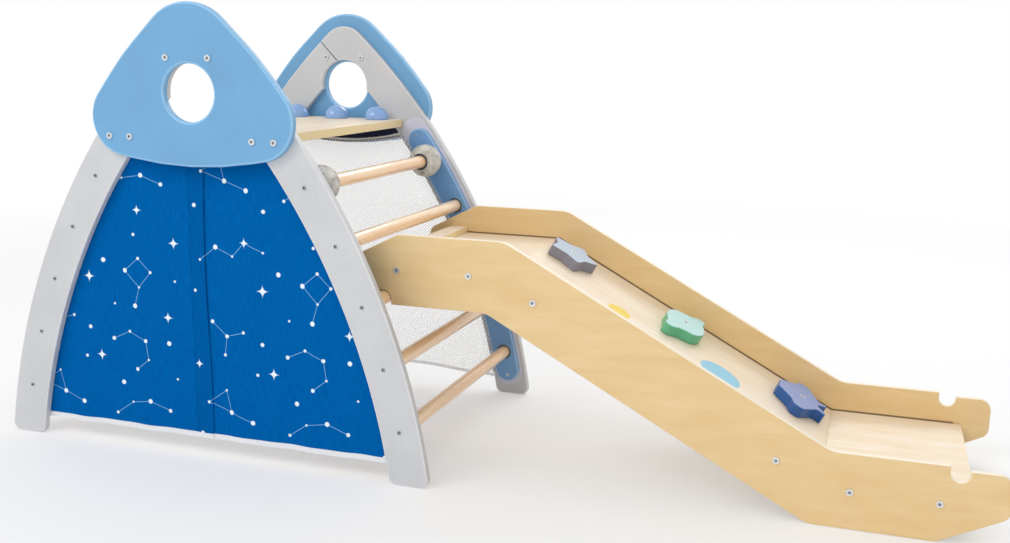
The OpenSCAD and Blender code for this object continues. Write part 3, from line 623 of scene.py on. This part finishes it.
def beech(name):
    """Lacquered beech whose grain runs along Y."""
    finish = new_finish(name, Coat_Weight=0.8, Coat_Roughness=0.1)
    place = object_place(finish)
    streaks = noise(place, STREAKS, Scale=1, Detail=5)
    flecks = noise(place, FLECKS, Scale=1, Detail=1)
    tone = tones(streaks, 0.32, 0.68, "#f5c491", "#ffe3bc")
    dark = spread(flecks, 0.62, 0.72, 0, 0.35)
    dull = spread(streaks, 0.3, 0.7, 0.42, 0.3)
    return surface(finish, blend_colours(dark, tone, "#c68f5f"), streaks, 0.15, 0.0002, dull)


lacquered_beech = beech("lacquered beech")
rungs = [node for node in nodes if "_rung_" in node]
for node in rungs:
    nodes[node].material_slots[0].material = lacquered_beech
print("rungs with a beech finish", len(rungs))

# %% [markdown]
# ## Moon balls
# Two grey wooden balls turn on the top rung of the ramp's ladder. They are speckled like stone and
# have small round craters. A bump could fake these, but they show on the outline, so a sphere is
# cut: two planes flatten its ends, and a boolean takes away a bore with a shallow step round it,
# whose faces are painted dark as the shadow in the bore, and a handful of small spheres.

# %% Moon finish
MOON_R, MOON_BORE, MOON_RING = 0.042, 0.0163, 0.0013
CRATER_FLOOR, CRATER_LIP = MOON_R - 0.0022, MOON_R - 0.0002
low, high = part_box("front_moon_ball")
moon_middle, moon_half = (low + high) / 2, (high.y - low.y) / 2


def moon_stone(name):
    """Speckled grey, darker in the craters of both balls."""
    finish = new_finish(name, Roughness=0.8)
    place = object_place(finish)
    clouds = noise(place, Scale=38, Detail=6, Roughness=0.65)
    grit = add("TexVoronoi", place, Scale=520).outputs["Distance"]
    tone = tones(clouds, 0.34, 0.66, "#a5a39c", "#dedad2")
    tone = blend_colours(spread(grit, 0.1, 0.3, 0.5, 0), tone, "#73766f")
    away = [measure("DISTANCE", place, (moon_middle.x, y, moon_middle.z))
            for y in (moon_middle.y, -moon_middle.y)]
    sunk = spread(lowest(away), CRATER_FLOOR, CRATER_LIP, 0.4, 0)
    height = calc("ADD", clouds, calc("MULTIPLY", grit, 0.3))
    return surface(finish, blend_colours(sunk, tone, "#7d7568"), height, 0.4, 0.0008)


stone = moon_stone("moon stone")
print("moon finish with", len(stone.node_tree.nodes), "nodes")

# %% Ball with flat ends
ALONG_Y = (radians(90), 0, 0)
bpy.ops.mesh.primitive_uv_sphere_add(segments=72, ring_count=48, radius=MOON_R, location=moon_middle,
                                     rotation=ALONG_Y)
moon = made("front_moon")
bpy.ops.object.transform_apply()
edit(moon)
for side in (-1, 1):
    bpy.ops.mesh.select_all(action="SELECT")
    bpy.ops.mesh.bisect(plane_co=moon_middle + Vector((0, side * moon_half, 0)), plane_no=(0, side, 0),
                        use_fill=True, clear_outer=True)
bpy.ops.object.mode_set(mode="OBJECT")
print("ball with", len(moon.data.polygons), "faces before it is cut")

# %% Bore and craters
CRATERS, GOLDEN_ANGLE = 26, radians(137.5)
CRATER_LEAST, CRATER_MORE, CRATER_BAND, CRATER_OUT = 0.0045, 0.006, 0.86, 0.62


def add_drum(radius, depth, side=0):
    """A cylinder on the ball's axis, in its middle or at one of its ends."""
    bpy.ops.mesh.primitive_cylinder_add(vertices=64, radius=radius, depth=depth, rotation=ALONG_Y,
                                        location=moon_middle + Vector((0, side * moon_half, 0)))


def join_to(whole):
    """Joins a new shape to another."""
    whole.select_set(True)
    bpy.context.view_layer.objects.active = whole
    bpy.ops.object.join()


add_drum(MOON_BORE, 2 * MOON_R)
cutter = bpy.context.active_object
for side in (-1, 1):
    add_drum(MOON_BORE + MOON_RING, 2 * MOON_RING, side)
    join_to(cutter)
for i in range(CRATERS):
    along = CRATER_BAND * (2 * (i + 0.5) / CRATERS - 1)
    out = Vector((cos(i * GOLDEN_ANGLE), 0, sin(i * GOLDEN_ANGLE))) * sqrt(1 - along ** 2)
    out.y = along
    size = CRATER_LEAST + CRATER_MORE * ((i * 7) % 5) / 4
    bpy.ops.mesh.primitive_ico_sphere_add(subdivisions=3, radius=size,
                                          location=moon_middle + out * (MOON_R + CRATER_OUT * size))
    join_to(cutter)
apply_modifier(moon, "BOOLEAN", operation="DIFFERENCE", object=cutter, solver="EXACT", use_self=True)
bpy.data.objects.remove(cutter)
print("moon faces", len(moon.data.polygons))

# %% Dress the ball and copy it
pick(moon)
bpy.ops.object.shade_smooth_by_angle(angle=SHARP_ANGLE)
dress(moon, "moon_stone", stone, painted_gap_shadow)
# the bore and its step get the dark paint that stands in for the shadow in the gap
for face in moon.data.polygons:
    out = face.center - moon_middle
    if hypot(out.x, out.z) < MOON_BORE + 0.98 * MOON_RING:
        face.material_index = 1
bpy.ops.object.duplicate()
rear_moon = made("rear_moon")
edit(rear_moon)
bpy.ops.transform.translate(value=(0, -2 * moon_middle.y, 0))
bpy.ops.object.mode_set(mode="OBJECT")
for piece, end in ((moon, "front"), (rear_moon, "rear")):
    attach(piece, end + "_moon")
    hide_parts(end + "_moon_ball")
print("balls", moon.name, "and", rear_moon.name)

# %% [markdown]
# ## Knobs
# Three lacquered half balls stand on the deck as the controls of a rocket, each with a screw sunk in
# its top. A lathe makes such a shape, and so does a ring of points that is extruded and scaled again
# and again along a list of radii and heights, until it meets its first ring.

# %% Knobs from rings
KNOB_R, KNOB_FOOT, KNOB_BORE, KNOB_HOLE, HOLE_FLOOR = 0.031, 0.0031, 0.0028, 0.0045, 0.02015
HOLE_MOUTH, DOME_STEPS, RING_POINTS = 0.0054, 14, 56
dome_end = acos(HOLE_MOUTH / KNOB_R)
dome = [dome_end * i / DOME_STEPS for i in range(DOME_STEPS + 1)]
hole_top = KNOB_FOOT + KNOB_R * sin(dome_end)
knob_rings = [(KNOB_BORE, 0), (0.0296, 0), (0.0306, 0.0004), (KNOB_R, 0.0014)]
knob_rings += [(KNOB_R * cos(a), KNOB_FOOT + KNOB_R * sin(a)) for a in dome]
knob_rings += [(0.0049, hole_top - 0.0001), (KNOB_HOLE, hole_top - 0.0007), (KNOB_HOLE, HOLE_FLOOR)]
knob_rings += [(KNOB_BORE, HOLE_FLOOR), (KNOB_BORE, 0)]


def turned(name, rings, foot):
    """A turned shape from rings of radius and height over its foot."""
    radius, height = rings[0]
    bpy.ops.mesh.primitive_circle_add(vertices=RING_POINTS, radius=radius, location=foot)
    piece = made(name)
    bpy.ops.object.transform_apply()
    edit(piece)
    for next_radius, next_height in rings[1:]:
        bpy.ops.mesh.extrude_region_move(TRANSFORM_OT_translate={"value": (0, 0, next_height - height)})
        grow = next_radius / radius
        bpy.ops.transform.resize(value=(grow, grow, 1), center_override=foot + Vector((0, 0, next_height)))
        radius, height = next_radius, next_height
    bpy.ops.mesh.select_all(action="SELECT")
    bpy.ops.mesh.remove_doubles(threshold=MERGE)
    bpy.ops.mesh.normals_make_consistent()
    bpy.ops.object.mode_set(mode="OBJECT")
    bpy.ops.object.shade_smooth_by_angle(angle=SHARP_ANGLE)
    return piece


knob_lacquer = painted("periwinkle lacquer", "#80a8de", roughness=0.2, coat=0.8)
for name in ("left_knob", "middle_knob", "right_knob"):
    low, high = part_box(name)
    foot = Vector(((low.x + high.x) / 2, (low.y + high.y) / 2, low.z))
    knob = turned(name + "_turned", knob_rings, foot)
    dress(knob, "knob_lacquer", knob_lacquer)
    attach(knob, name)
    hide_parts(name)
print("knob rings", len(knob_rings))

# %% [markdown]
# ## Climbing holds
# A star, a cloud and a shuttle are screwed to the slope. Each is a thick painted board with soft
# edges, whose top is painted paler than its sides: partly its own paint and partly a painted
# highlight for the light that falls on the top. The same easing serves, and the finish picks the top
# by the way a face looks, so that no face has to be picked by hand.

# %% Holds
HOLD_RIM = 0.003
SLOPE_NORMAL = (sin(SLOPE), 0, cos(SLOPE))


def paint_with_highlit_top(name, top, side):
    """Paint for a board on the slope, with a paler top that is partly a painted highlight."""
    finish = painted(name, side)
    base = shader_of(finish).inputs["Base Color"]
    normal = add("TexCoord", tree=finish.node_tree).outputs["Normal"]
    facing = measure("DOT_PRODUCT", normal, SLOPE_NORMAL)
    plug(tones(facing, 0.6, 0.9, base.links[0].from_socket, top), base)
    return finish


for node, slot, top, side in (("star_hold", "star_paint", "#b2c3d6", "#82828e"),
                              ("cloud_hold", "cloud_paint", "#bbe4e2", "#5eb68a"),
                              ("shuttle_hold", "shuttle_paint", "#8799c8", "#1c559b")):
    paint = paint_with_highlit_top(slot.replace("_", " "), top, side)
    eased(node, HOLD_RIM, slot, paint, paint)
print("holds eased by", HOLD_RIM, "m")

# %% [markdown]
# ## Bands and fasteners
# Pale bands back the rails, and zinc-plated bolts and screws hold the boards. A bolt head is small,
# but its edge catches the light, so the heads that show are eased a little, and their sockets are
# painted darker as the shade inside them. Nuts inside the wood keep their solids and get the same steel.

# %% Steel
SCUFFS = (900, 60, 900)


def zinc(name, deep, pale):
    """Plated steel with dull patches and fine scuffs."""
    finish = new_finish(name, Metallic=0.6)
    place = object_place(finish)
    patches = noise(place, Scale=240, Detail=4)
    scuffs = noise(place, SCUFFS, Scale=1, Detail=2)
    dull = spread(scuffs, 0.3, 0.7, 0.22, 0.42)
    return surface(finish, tones(patches, 0.35, 0.65, deep, pale), scuffs, 0.2, 0.0001, dull)


steel = zinc("zinc-plated steel", "#cccfd1", "#e6e8e9")
# the darker steel is the rung screws' own heads and the painted shade in other sockets; the deep one is
# painted shade in the rung screws' sockets
dark_steel_and_socket_shade = zinc("darker steel and socket shade", "#85888c", "#a4a7aa")
deep_socket_shade = zinc("deep socket shade on steel", "#33363a", "#54575b")
band_finish = painted("pale band", "#d5d4e1", roughness=0.55)
print("steels", [m.name for m in bpy.data.materials if "steel" in m.name])

# %% Bands, bolts and nuts
BOLT_RIM, BOLT_SMALLEST, SOCKET_SHARE = 0.0006, 0.002, 0.56
STRAIGHT_IN = Vector((0, 1, 0))


def paint_socket_shade(piece, axis):
    """Puts the third finish, a painted socket shade, near each head's axis: in its socket, and on its shank,
    which nobody sees.
    """
    mesh = bmesh.new()
    mesh.from_mesh(piece.data)
    for island in joined_groups(mesh.faces, lambda face: {f for e in face.edges for f in e.link_faces}):
        flat = {v: v.co - axis * v.co.dot(axis) for f in island for v in f.verts}
        middle = sum(flat.values(), Vector()) / len(flat)
        far = {v: (p - middle).length for v, p in flat.items()}
        widest = max(far.values())
        for face in island:
            if max(far[v] for v in face.verts) < SOCKET_SHARE * widest:
                face.material_index = 2
    mesh.to_mesh(piece.data)
    mesh.free()


heads = [n for n in nodes if "bolt" in n or "screw" in n or n == "leg_insert_nuts"]
head_axes = {"hold_bolts": Vector(SLOPE_NORMAL), "knob_screws": Vector((0, 0, 1))}
for node in nodes:
    if node.endswith("_band"):
        nodes[node].material_slots[0].material = band_finish
    elif node in heads:
        ring, socket = (dark_steel_and_socket_shade, deep_socket_shade) if node == "rung_screws" else (steel, dark_steel_and_socket_shade)
        piece = eased(node, BOLT_RIM, "steel", ring, ring, smallest=BOLT_SMALLEST, segments=2)
        piece.data.materials.append(socket)
        paint_socket_shade(piece, head_axes.get(node, STRAIGHT_IN))
    elif "nut" in node:
        nodes[node].material_slots[0].material = steel
print("eased groups of heads", heads)

# %% [markdown]
# ## Star print
# The curtain is deep blue cotton with a white print of dots, four-point sparkles and dots joined by
# thin lines. A picture could hold it, but a print worked out from distances stays sharp at any
# size. The cloth carries its flat pattern as a UV map in metres, so that the print stays with the
# cloth when a flap swings, and one tile of the print repeats over it.

# %% One tile of the print
TILE = (0.45, 0.52, 1)
# lines of joined dots, in millimetres on the tile
CHAINS = (((40, 450), (78, 480), (120, 462), (152, 494), (196, 475)),
          ((290, 410), (327, 440), (358, 410), (327, 374), (290, 410)),
          ((327, 374), (314, 330)),
          ((64, 312), (100, 281), (144, 294)), ((100, 281), (94, 238)),
          ((250, 248), (294, 268), (338, 250), (344, 206), (312, 181)),
          ((50, 125), (94, 156), (106, 106), (50, 125)), ((106, 106), (160, 88)),
          ((250, 70), (294, 100), (344, 108), (394, 90)))
LONE_DOTS = ((232, 430), (420, 394), (25, 380), (188, 270), (400, 250), (418, 168),
             (175, 200), (30, 50), (270, 145), (256, 330), (318, 494), (200, 45))
# each sparkle has a place and the length of its arms
SPARKLES = ((192, 390, 17), (400, 310, 15), (215, 206, 16), (330, 30, 14),
            (28, 212, 13), (420, 480, 16), (152, 494, 14))
LINE_HALF, DOT_LEAST, DOT_MORE, DOT_INNER, DOT_OUTER = 0.0004, 0.0024, 0.0009, -0.0006, 0.001
dots = sorted({p for chain in CHAINS for p in chain}) + list(LONE_DOTS)


def spot(x, y):
    """A place on the tile as a vector in metres."""
    return (x / 1000, y / 1000, 0)


def sparkle(place, x, y, arm):
    """One at the middle of a four-point sparkle and nought outside it."""
    away = axes(vector("ABSOLUTE", vector("SUBTRACT", place, spot(x, y))))
    roots = [calc("SQRT", calc("DIVIDE", away[i], arm / 1000)) for i in (0, 1)]
    return spread(calc("ADD", *roots), 0.88, 1.04, 1, 0)


def star_print(cut):
    """The shares of the ink of dots and sparkles, and of the thin lines between the dots."""
    place = vector("WRAP", cut, TILE, (0, 0, 0))
    lines = [from_segment(place, spot(*a), spot(*b)) for chain in CHAINS for a, b in zip(chain, chain[1:])]
    rounds = [calc("SUBTRACT", measure("DISTANCE", place, spot(*p)), DOT_LEAST + DOT_MORE * (i * 5 % 4))
              for i, p in enumerate(dots)]
    stars = [calc("SUBTRACT", 1, sparkle(place, *s)) for s in SPARKLES]
    ink = calc("MAXIMUM", spread(lowest(rounds), DOT_INNER, DOT_OUTER, 1, 0),
               calc("SUBTRACT", 1, lowest(stars)))
    return ink, spread(lowest(lines), LINE_HALF, 2.2 * LINE_HALF, 0.75, 0)


print("dots", len(dots), "and sparkles", len(SPARKLES), "on a tile")

# %% Cloth finishes
OVERLAP, PLACKET = 0.005, 0.034
WEAVE, SLUBS = 2 * pi / 0.0011, (160, 12, 1)
# how deep in metres light glows through pale cloth, alike for all colours
GLOW = {"Subsurface_Scale": 0.003, "Subsurface_Radius": (1, 1, 1)}


def cut_place(finish):
    """A point's place on the flat pattern of its cloth, in metres."""
    return add("UVMap", tree=finish.node_tree, uv_map="cut").outputs[0]


def weave_height(cut):
    """Threads that go over and under each other, on a flat map in metres."""
    threads = axes(vector("SCALE", cut, Scale=WEAVE))
    return calc("MULTIPLY", *(calc("SINE", threads[i]) for i in (0, 1)))


def placket_shade(cut):
    """How dark the cloth is on the doubled strip beside the slit, and at that strip's seam."""
    from_slit = calc("SUBTRACT", 0.5, axes(cut)[0])
    folded = calc("MULTIPLY", calc("LESS_THAN", from_slit, PLACKET),
                  calc("GREATER_THAN", from_slit, -OVERLAP))
    from_seam = calc("ABSOLUTE", calc("SUBTRACT", from_slit, PLACKET))
    seam = spread(from_seam, 0.0005, 0.0015, 0.4, 0)
    return calc("MAXIMUM", calc("MULTIPLY", folded, 0.14), seam)


def star_cloth(name):
    """Blue cotton with the print, a doubled strip beside the slit and a weave."""
    finish = new_finish(name, Roughness=0.95, Specular_IOR_Level=0.02)
    cut = cut_place(finish)
    ink, thin = star_print(cut)
    slub = noise(cut, SLUBS, Scale=3, Detail=3)
    colour = tones(slub, 0.35, 0.65, "#00589e", "#0063ad")
    colour = blend_colours(placket_shade(cut), colour, "#00315f")
    colour = blend_colours(thin, colour, "#93c4ea")
    height = calc("ADD", weave_height(cut), calc("MULTIPLY", slub, 2))
    return surface(finish, blend_colours(ink, colour, "#eaf5fb"), height, 0.3, 0.0003)


def plain_cloth(name, code, glow=0.0):
    """Woven cotton of one colour. A share of the light glows through it."""
    finish = new_finish(name, Roughness=0.9, Specular_IOR_Level=0.2, Subsurface_Weight=glow, **GLOW)
    weave = weave_height(cut_place(finish))
    return surface(finish, tones(weave, -1, 1, shaded(code, 0.86), code), weave, 0.35, 0.0003)


# the lining's blue is painted darker to stand in for the shade inside the gym
printed, shade_darkened_lining = star_cloth("printed cotton"), plain_cloth("shade_darkened_lining", "#1c4f86")
white_cotton = plain_cloth("white cotton", "#eeeff1")
print("nodes in the print", len(printed.node_tree.nodes))

# %% [markdown]
# ## Curtain
# The doorway's curtain is two halves of cotton with a slit between them. Each half is one sheet: a
# grid of points set to the arch's outline, with shallow waves where nothing holds it. It hangs from
# the arch, and the corner at the slit swings open about a slanted fold; the sheet is made only in
# its hanging place. A cloth simulation could hang it too, but this curtain is fastened along
# three sides and stays nearly flat.

# %% Sheets of cloth
MIDDLE_X = sum(c.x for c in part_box("deck")) / 2
BOW_X, BOW_DROP, CLOTH_R = 1.0403, 0.22003, 1.5127
HANDS, SLICES = ((-1, "left"), (1, "right")), 100


def arch_half(z):
    """Half the width between the bands at a height."""
    return sqrt(CLOTH_R ** 2 - (z + BOW_DROP) ** 2) - BOW_X


def arch_area(z_low, z_high):
    """The area of half an arch between two heights."""
    heights = [z_low + (z_high - z_low) * (i + 0.5) / SLICES for i in range(SLICES)]
    return sum(arch_half(z) for z in heights) / SLICES * (z_high - z_low)


def face_out(piece):
    """Turns a sheet's faces over if they don't look to the front."""
    piece.data.update()
    if sum(p.normal.y for p in piece.data.polygons) > 0:
        edit(piece)
        bpy.ops.mesh.flip_normals()
        bpy.ops.object.mode_set(mode="OBJECT")


def sheet_of(name, columns, rows, place):
    """A grid bent to place(u, v), where u and v run from 0 to 1, with its flat pattern as a UV map."""
    bpy.ops.mesh.primitive_grid_add(x_subdivisions=columns, y_subdivisions=rows, size=1)
    piece = made(name)
    mesh = piece.data
    for vertex in mesh.vertices:
        vertex.co = place(vertex.co.x + 0.5, vertex.co.y + 0.5)
    mesh.uv_layers.active.name = "cut"
    for loop, flat in zip(mesh.loops, mesh.uv_layers.active.data):
        point = mesh.vertices[loop.vertex_index].co
        flat.uv = (point.x - MIDDLE_X + 0.5, point.z)
    face_out(piece)
    return piece


def thicken(piece, thick, slot, *finishes):
    """Makes a sheet a thin solid. A second finish goes on its back."""
    dress(piece, slot, *finishes)
    apply_modifier(piece, "SOLIDIFY", thickness=thick, offset=0, material_offset=len(finishes) - 1)
    bpy.ops.object.shade_smooth_by_angle(angle=SHARP_ANGLE)


# %% How the curtain hangs
low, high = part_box("left_curtain_side")
CLOTH_Y, CLOTH_TOP, CLOTH_THICK = (low.y + high.y) / 2, high.z, high.y - low.y
CLOTH_LOW, HEM_HIGH = (box_end.z for box_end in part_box("left_curtain_hem"))
SLIT_STEP, SLIT_REACH, SLIT_SWAY = 0.0013, 0.05, 0.0035
HELD_SIDE, HELD_TOP, WAVE, RIPPLE = 0.09, 0.12, 0.0021, 0.0012


def hanging(hand, z, out, lift=0.0):
    """A point of the curtain's left (-1) or right (1) half, at a height and a distance out from the slit."""
    free = min(1, (arch_half(z) - out) / HELD_SIDE) * min(1, (CLOTH_TOP - z) / HELD_TOP)
    wave = WAVE * sin(out * 34 + hand + 0.8 * sin(6 * z)) + RIPPLE * sin(71 * out - 7 * z)
    near_slit = exp(-(out / SLIT_REACH) ** 2)
    sway = SLIT_SWAY * sin(9.5 * z + 0.4) * near_slit
    step = SLIT_STEP * hand * near_slit
    return Vector((MIDDLE_X + hand * out + sway, CLOTH_Y + free * wave * (1 - near_slit) + step - lift, z))


def half_sheet(name, hand, z_low, z_high, columns, rows, outer=None, lift=0.0):
    """A sheet over part of one half of the curtain."""
    def place(u, v):
        z = z_low + v * (z_high - z_low)
        return hanging(hand, z, -OVERLAP + u * ((outer or arch_half(z)) + OVERLAP), lift)
    return sheet_of(name, columns, rows, place)


print("curtain from", round(CLOTH_LOW, 3), "to", round(CLOTH_TOP, 3), "m over the floor")

# %% Curtain halves with hems
FOLD_HALF, HEM_THICK, PLACKET_THICK, PLACKET_DROP = 0.006, 0.0024, 0.0009, 0.06
STEPS = 140


def swing(piece, hand_name, *stands_for):
    """Works out a flap's fold, then bakes the piece's place into its mesh and hides what it stands for."""
    joint = next(j for j in frame["joints"] if j["child"] == hand_name + "_flap")
    at, axis = Vector(joint["pos_m"]), Vector(joint["axis"])
    down = axis.cross(STRAIGHT_IN)
    if down.z > 0:
        down = -down
    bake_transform(piece)
    if stands_for:
        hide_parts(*stands_for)


hem_middle = (CLOTH_LOW + HEM_HIGH) / 2
for hand, name in HANDS:
    curtain = half_sheet(name + "_curtain", hand, hem_middle, CLOTH_TOP, STEPS * 2 // 3, STEPS)
    thicken(curtain, CLOTH_THICK, "curtain_cloth", printed, shade_darkened_lining)
    swing(curtain, name, name + "_curtain_side", name + "_curtain_flap")
    hem = half_sheet(name + "_hem", hand, CLOTH_LOW, HEM_HIGH, STEPS, 4)
    thicken(hem, HEM_THICK, "hem_cloth", white_cotton)
    swing(hem, name, name + "_curtain_hem")
    if hand < 0:
        placket = half_sheet("slit_placket", hand, HEM_HIGH, CLOTH_TOP - PLACKET_DROP, 8, STEPS,
                             outer=PLACKET, lift=(CLOTH_THICK + PLACKET_THICK) / 2)
        thicken(placket, PLACKET_THICK, "curtain_cloth", printed)
        swing(placket, name)
    wide, area = arch_half(CLOTH_LOW), arch_area(CLOTH_LOW, CLOTH_TOP)
    print(name, "half is", round(wide, 3), "m wide with a flat area of", round(area, 4), "m2")

# %% [markdown]
# ## Net
# The far side is closed by a white knotted net. Thin cylinders for each cord would be heavy, and a
# see-through picture would look flat from near by. Instead a grid is turned by 45 degrees and cut
# to the arch, each face is inset, and the inner faces are deleted, which leaves real strands. Tapes
# hide the cut ends, a navy strip under the deck stands in for the deep shade there, and a dark zigzag
# seam sews the tapes on.

# %% How the net hangs
NET_PITCH, STRAND, NET_THICK = 0.0062, 0.0015, 0.0008
TAPE, HEM, NET_REACH, NET_MIDDLE = 0.009, 0.008, 1.3, 0.36
low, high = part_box("mesh_panel")
NET_Y, NET_LOW = (low.y + high.y) / 2, low.z
SAG_LOW, SAG, SAG_HALF = 0.668, 0.022, 0.172
EDGE_LIFT, EDGE_WAVE, EDGE_DIP, EDGE_HALF = 0.004, 0.005, 0.009, 0.36
NET_FREE, NET_HELD, NET_WAVE, NET_RIPPLE = 0.45, 0.1, 0.0045, 0.0018


def net_top(x):
    """Height of the net's upper edge, which sags between the legs."""
    return SAG_LOW + SAG * min(1, abs(x) / SAG_HALF) ** 2


def net_low(x):
    """Height of the net's lower edge, which isn't straight and hangs lowest near the legs."""
    wave = EDGE_WAVE * sin(9.5 * x - 0.6)
    return NET_LOW + EDGE_LIFT + wave - EDGE_DIP * min(1, abs(x) / EDGE_HALF) ** 3


def net_point(x, z, lift=0.0):
    """A point of the net, with soft ripples that grow towards its free lower edge."""
    held = min(1, max(0, (arch_half(z) - abs(x)) / NET_HELD))
    free = max(0, 1 - (z - NET_LOW) / NET_FREE) ** 1.6 * held
    ripple = NET_WAVE * sin(17 * x + 5 * z) + NET_RIPPLE * sin(41 * x - 3)
    return Vector((MIDDLE_X + x, NET_Y + free * ripple + lift, z))


print("net from", round(NET_LOW, 3), "to", round(net_top(SAG_HALF), 3), "m over the floor")

# %% Net of strands
cells = int(NET_REACH / NET_PITCH)
bpy.ops.mesh.primitive_grid_add(x_subdivisions=cells, y_subdivisions=cells, size=cells * NET_PITCH)
net = bpy.context.active_object
for vertex in net.data.vertices:
    a, b = vertex.co.x, vertex.co.y
    vertex.co = ((a - b) / sqrt(2), 0, (a + b) / sqrt(2) + NET_MIDDLE)
bpy.ops.object.mode_set(mode="EDIT")
bpy.ops.mesh.select_mode(type="FACE")
mesh = bmesh.from_edit_mesh(net.data)
for face in mesh.faces:
    x, _, z = face.calc_center_median()
    inside = net_low(x) + HEM / 2 < z < net_top(x) and abs(x) < arch_half(z) - TAPE / 3
    face.select_set(not inside)
bmesh.update_edit_mesh(net.data)
bpy.ops.mesh.delete(type="FACE")
bpy.ops.mesh.select_all(action="SELECT")
bpy.ops.mesh.inset(thickness=STRAND / 2, use_individual=True)
bpy.ops.mesh.delete(type="FACE")
mesh = bmesh.from_edit_mesh(net.data)
for vertex in mesh.verts:
    vertex.co = net_point(vertex.co.x, vertex.co.z)
for face in mesh.faces:
    face.select_set(face.calc_center_median().x < MIDDLE_X)
bmesh.update_edit_mesh(net.data)
bpy.ops.mesh.separate(type="SELECTED")
bpy.ops.object.mode_set(mode="OBJECT")
halves = sorted(bpy.context.selected_objects, key=lambda half: half.data.vertices[0].co.x)
print("net strands with", sum(len(half.data.polygons) for half in halves), "faces")


# %% Net finish, tapes and strip
def knotted_yarn(name):
    """White yarn that the light glows through."""
    finish = new_finish(name, Roughness=0.8, Sheen_Weight=0.1, Subsurface_Weight=1, **GLOW)
    fibres = noise(object_place(finish), Scale=900, Detail=3)
    return surface(finish, tones(fibres, 0.35, 0.65, "#f0f0f2", "#fcfcfd"), fibres, 0.4, 0.0003)


yarn = knotted_yarn("white net yarn")
# the navy strip's dark colour stands in for the deep shade under the deck
pale_tape, navy = plain_cloth("pale tape", "#f8f9fa", glow=1), plain_cloth("navy cotton", "#232a44")
thread = painted("dark thread", "#4b4f57", roughness=0.7, coat=0)
wide, top = arch_half(NET_LOW), net_top(SAG_HALF)
HEM_SHARE, DECK_GAP = 0.985, 0.001
top_half, side_low = arch_half(top) - TAPE / 2, NET_LOW + EDGE_LIFT
deck_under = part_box("deck")[0].z - DECK_GAP


def tape_of(name, columns, place, slot, stands_for=(), finish=pale_tape):
    """A narrow strip along the net."""
    piece = sheet_of(name, columns, 3, place)
    thicken(piece, 2 * NET_THICK, slot, finish)
    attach(piece, "frame")
    if stands_for:
        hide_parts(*stands_for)


def along_hem(u, v):
    """Along the lower edge."""
    x = HEM_SHARE * wide * (2 * u - 1)
    return net_point(x, net_low(x) + v * HEM)


def along_top(u, v):
    """Along the upper edge."""
    x = top_half * (2 * u - 1)
    return net_point(x, net_top(x) + (v - 0.7) * TAPE / 2)


def over_net(u, v):
    """From the upper edge to the deck."""
    x = top_half * (2 * u - 1)
    low_edge = net_top(x) - TAPE
    z = low_edge + v * (deck_under - low_edge)
    return net_point(min(1, arch_half(z) / arch_half(net_top(x))) * x, z, 3 * NET_THICK)


tape_of("net_hem", 160, along_hem, "hem_cloth", ["mesh_hem"])
tape_of("net_top_tape", 60, along_top, "mesh_cloth")
tape_of("net_head", 60, over_net, "curtain_cloth", finish=navy)
for hand, name in HANDS:
    def along_arch(u, v):
        """Along one side."""
        z = side_low + u * (top - side_low)
        return net_point(hand * (arch_half(z) - (1 - v) * TAPE), z)
    tape_of(name + "_net_tape", 90, along_arch, "mesh_cloth")

# %% Net halves
flat_area = arch_area(NET_LOW, top)
for name, piece in zip(("left_net", "right_net"), halves):
    piece.name = piece.data.name = name
    face_out(piece)
    thicken(piece, NET_THICK, "mesh_cloth", yarn)
    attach(piece, "frame")
    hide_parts("mesh_panel")

# %% Zigzag seams
ZIGZAG, THREAD_R, SEAM_LOW, SEAM_OUT, SEAM_IN = 0.011, 0.0006, 0.006, 0.001, TAPE - 0.002
for hand, name in HANDS:
    count = int((top - NET_LOW) / ZIGZAG) * 2
    curve = bpy.data.curves.new(name + "_seam", "CURVE")
    curve.dimensions, curve.bevel_depth, curve.bevel_resolution = "3D", THREAD_R, 1
    spline = curve.splines.new("POLY")
    spline.points.add(count - 1)
    for i, point in enumerate(spline.points):
        z = NET_LOW + SEAM_LOW + i * ZIGZAG / 2
        x = hand * (arch_half(z) - (SEAM_OUT if i % 2 else SEAM_IN))
        point.co = (*net_point(x, z, -NET_THICK - THREAD_R / 2), 1)
    seam = bpy.data.objects.new(name + "_seam", curve)
    bpy.context.scene.collection.objects.link(seam)
    pick(seam)
    bpy.ops.object.convert(target="MESH")
    dress(seam, "mesh_cloth", thread)
    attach(seam, "frame")
print("seams with", count, "stitches each")

# %% [markdown]
# ## Sizes
# The dressed gym must be as large as the solids. Its box is printed.

# %% Print the dressed gym's box
low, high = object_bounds()
print("visual box", [round(c, 4) for c in high - low])
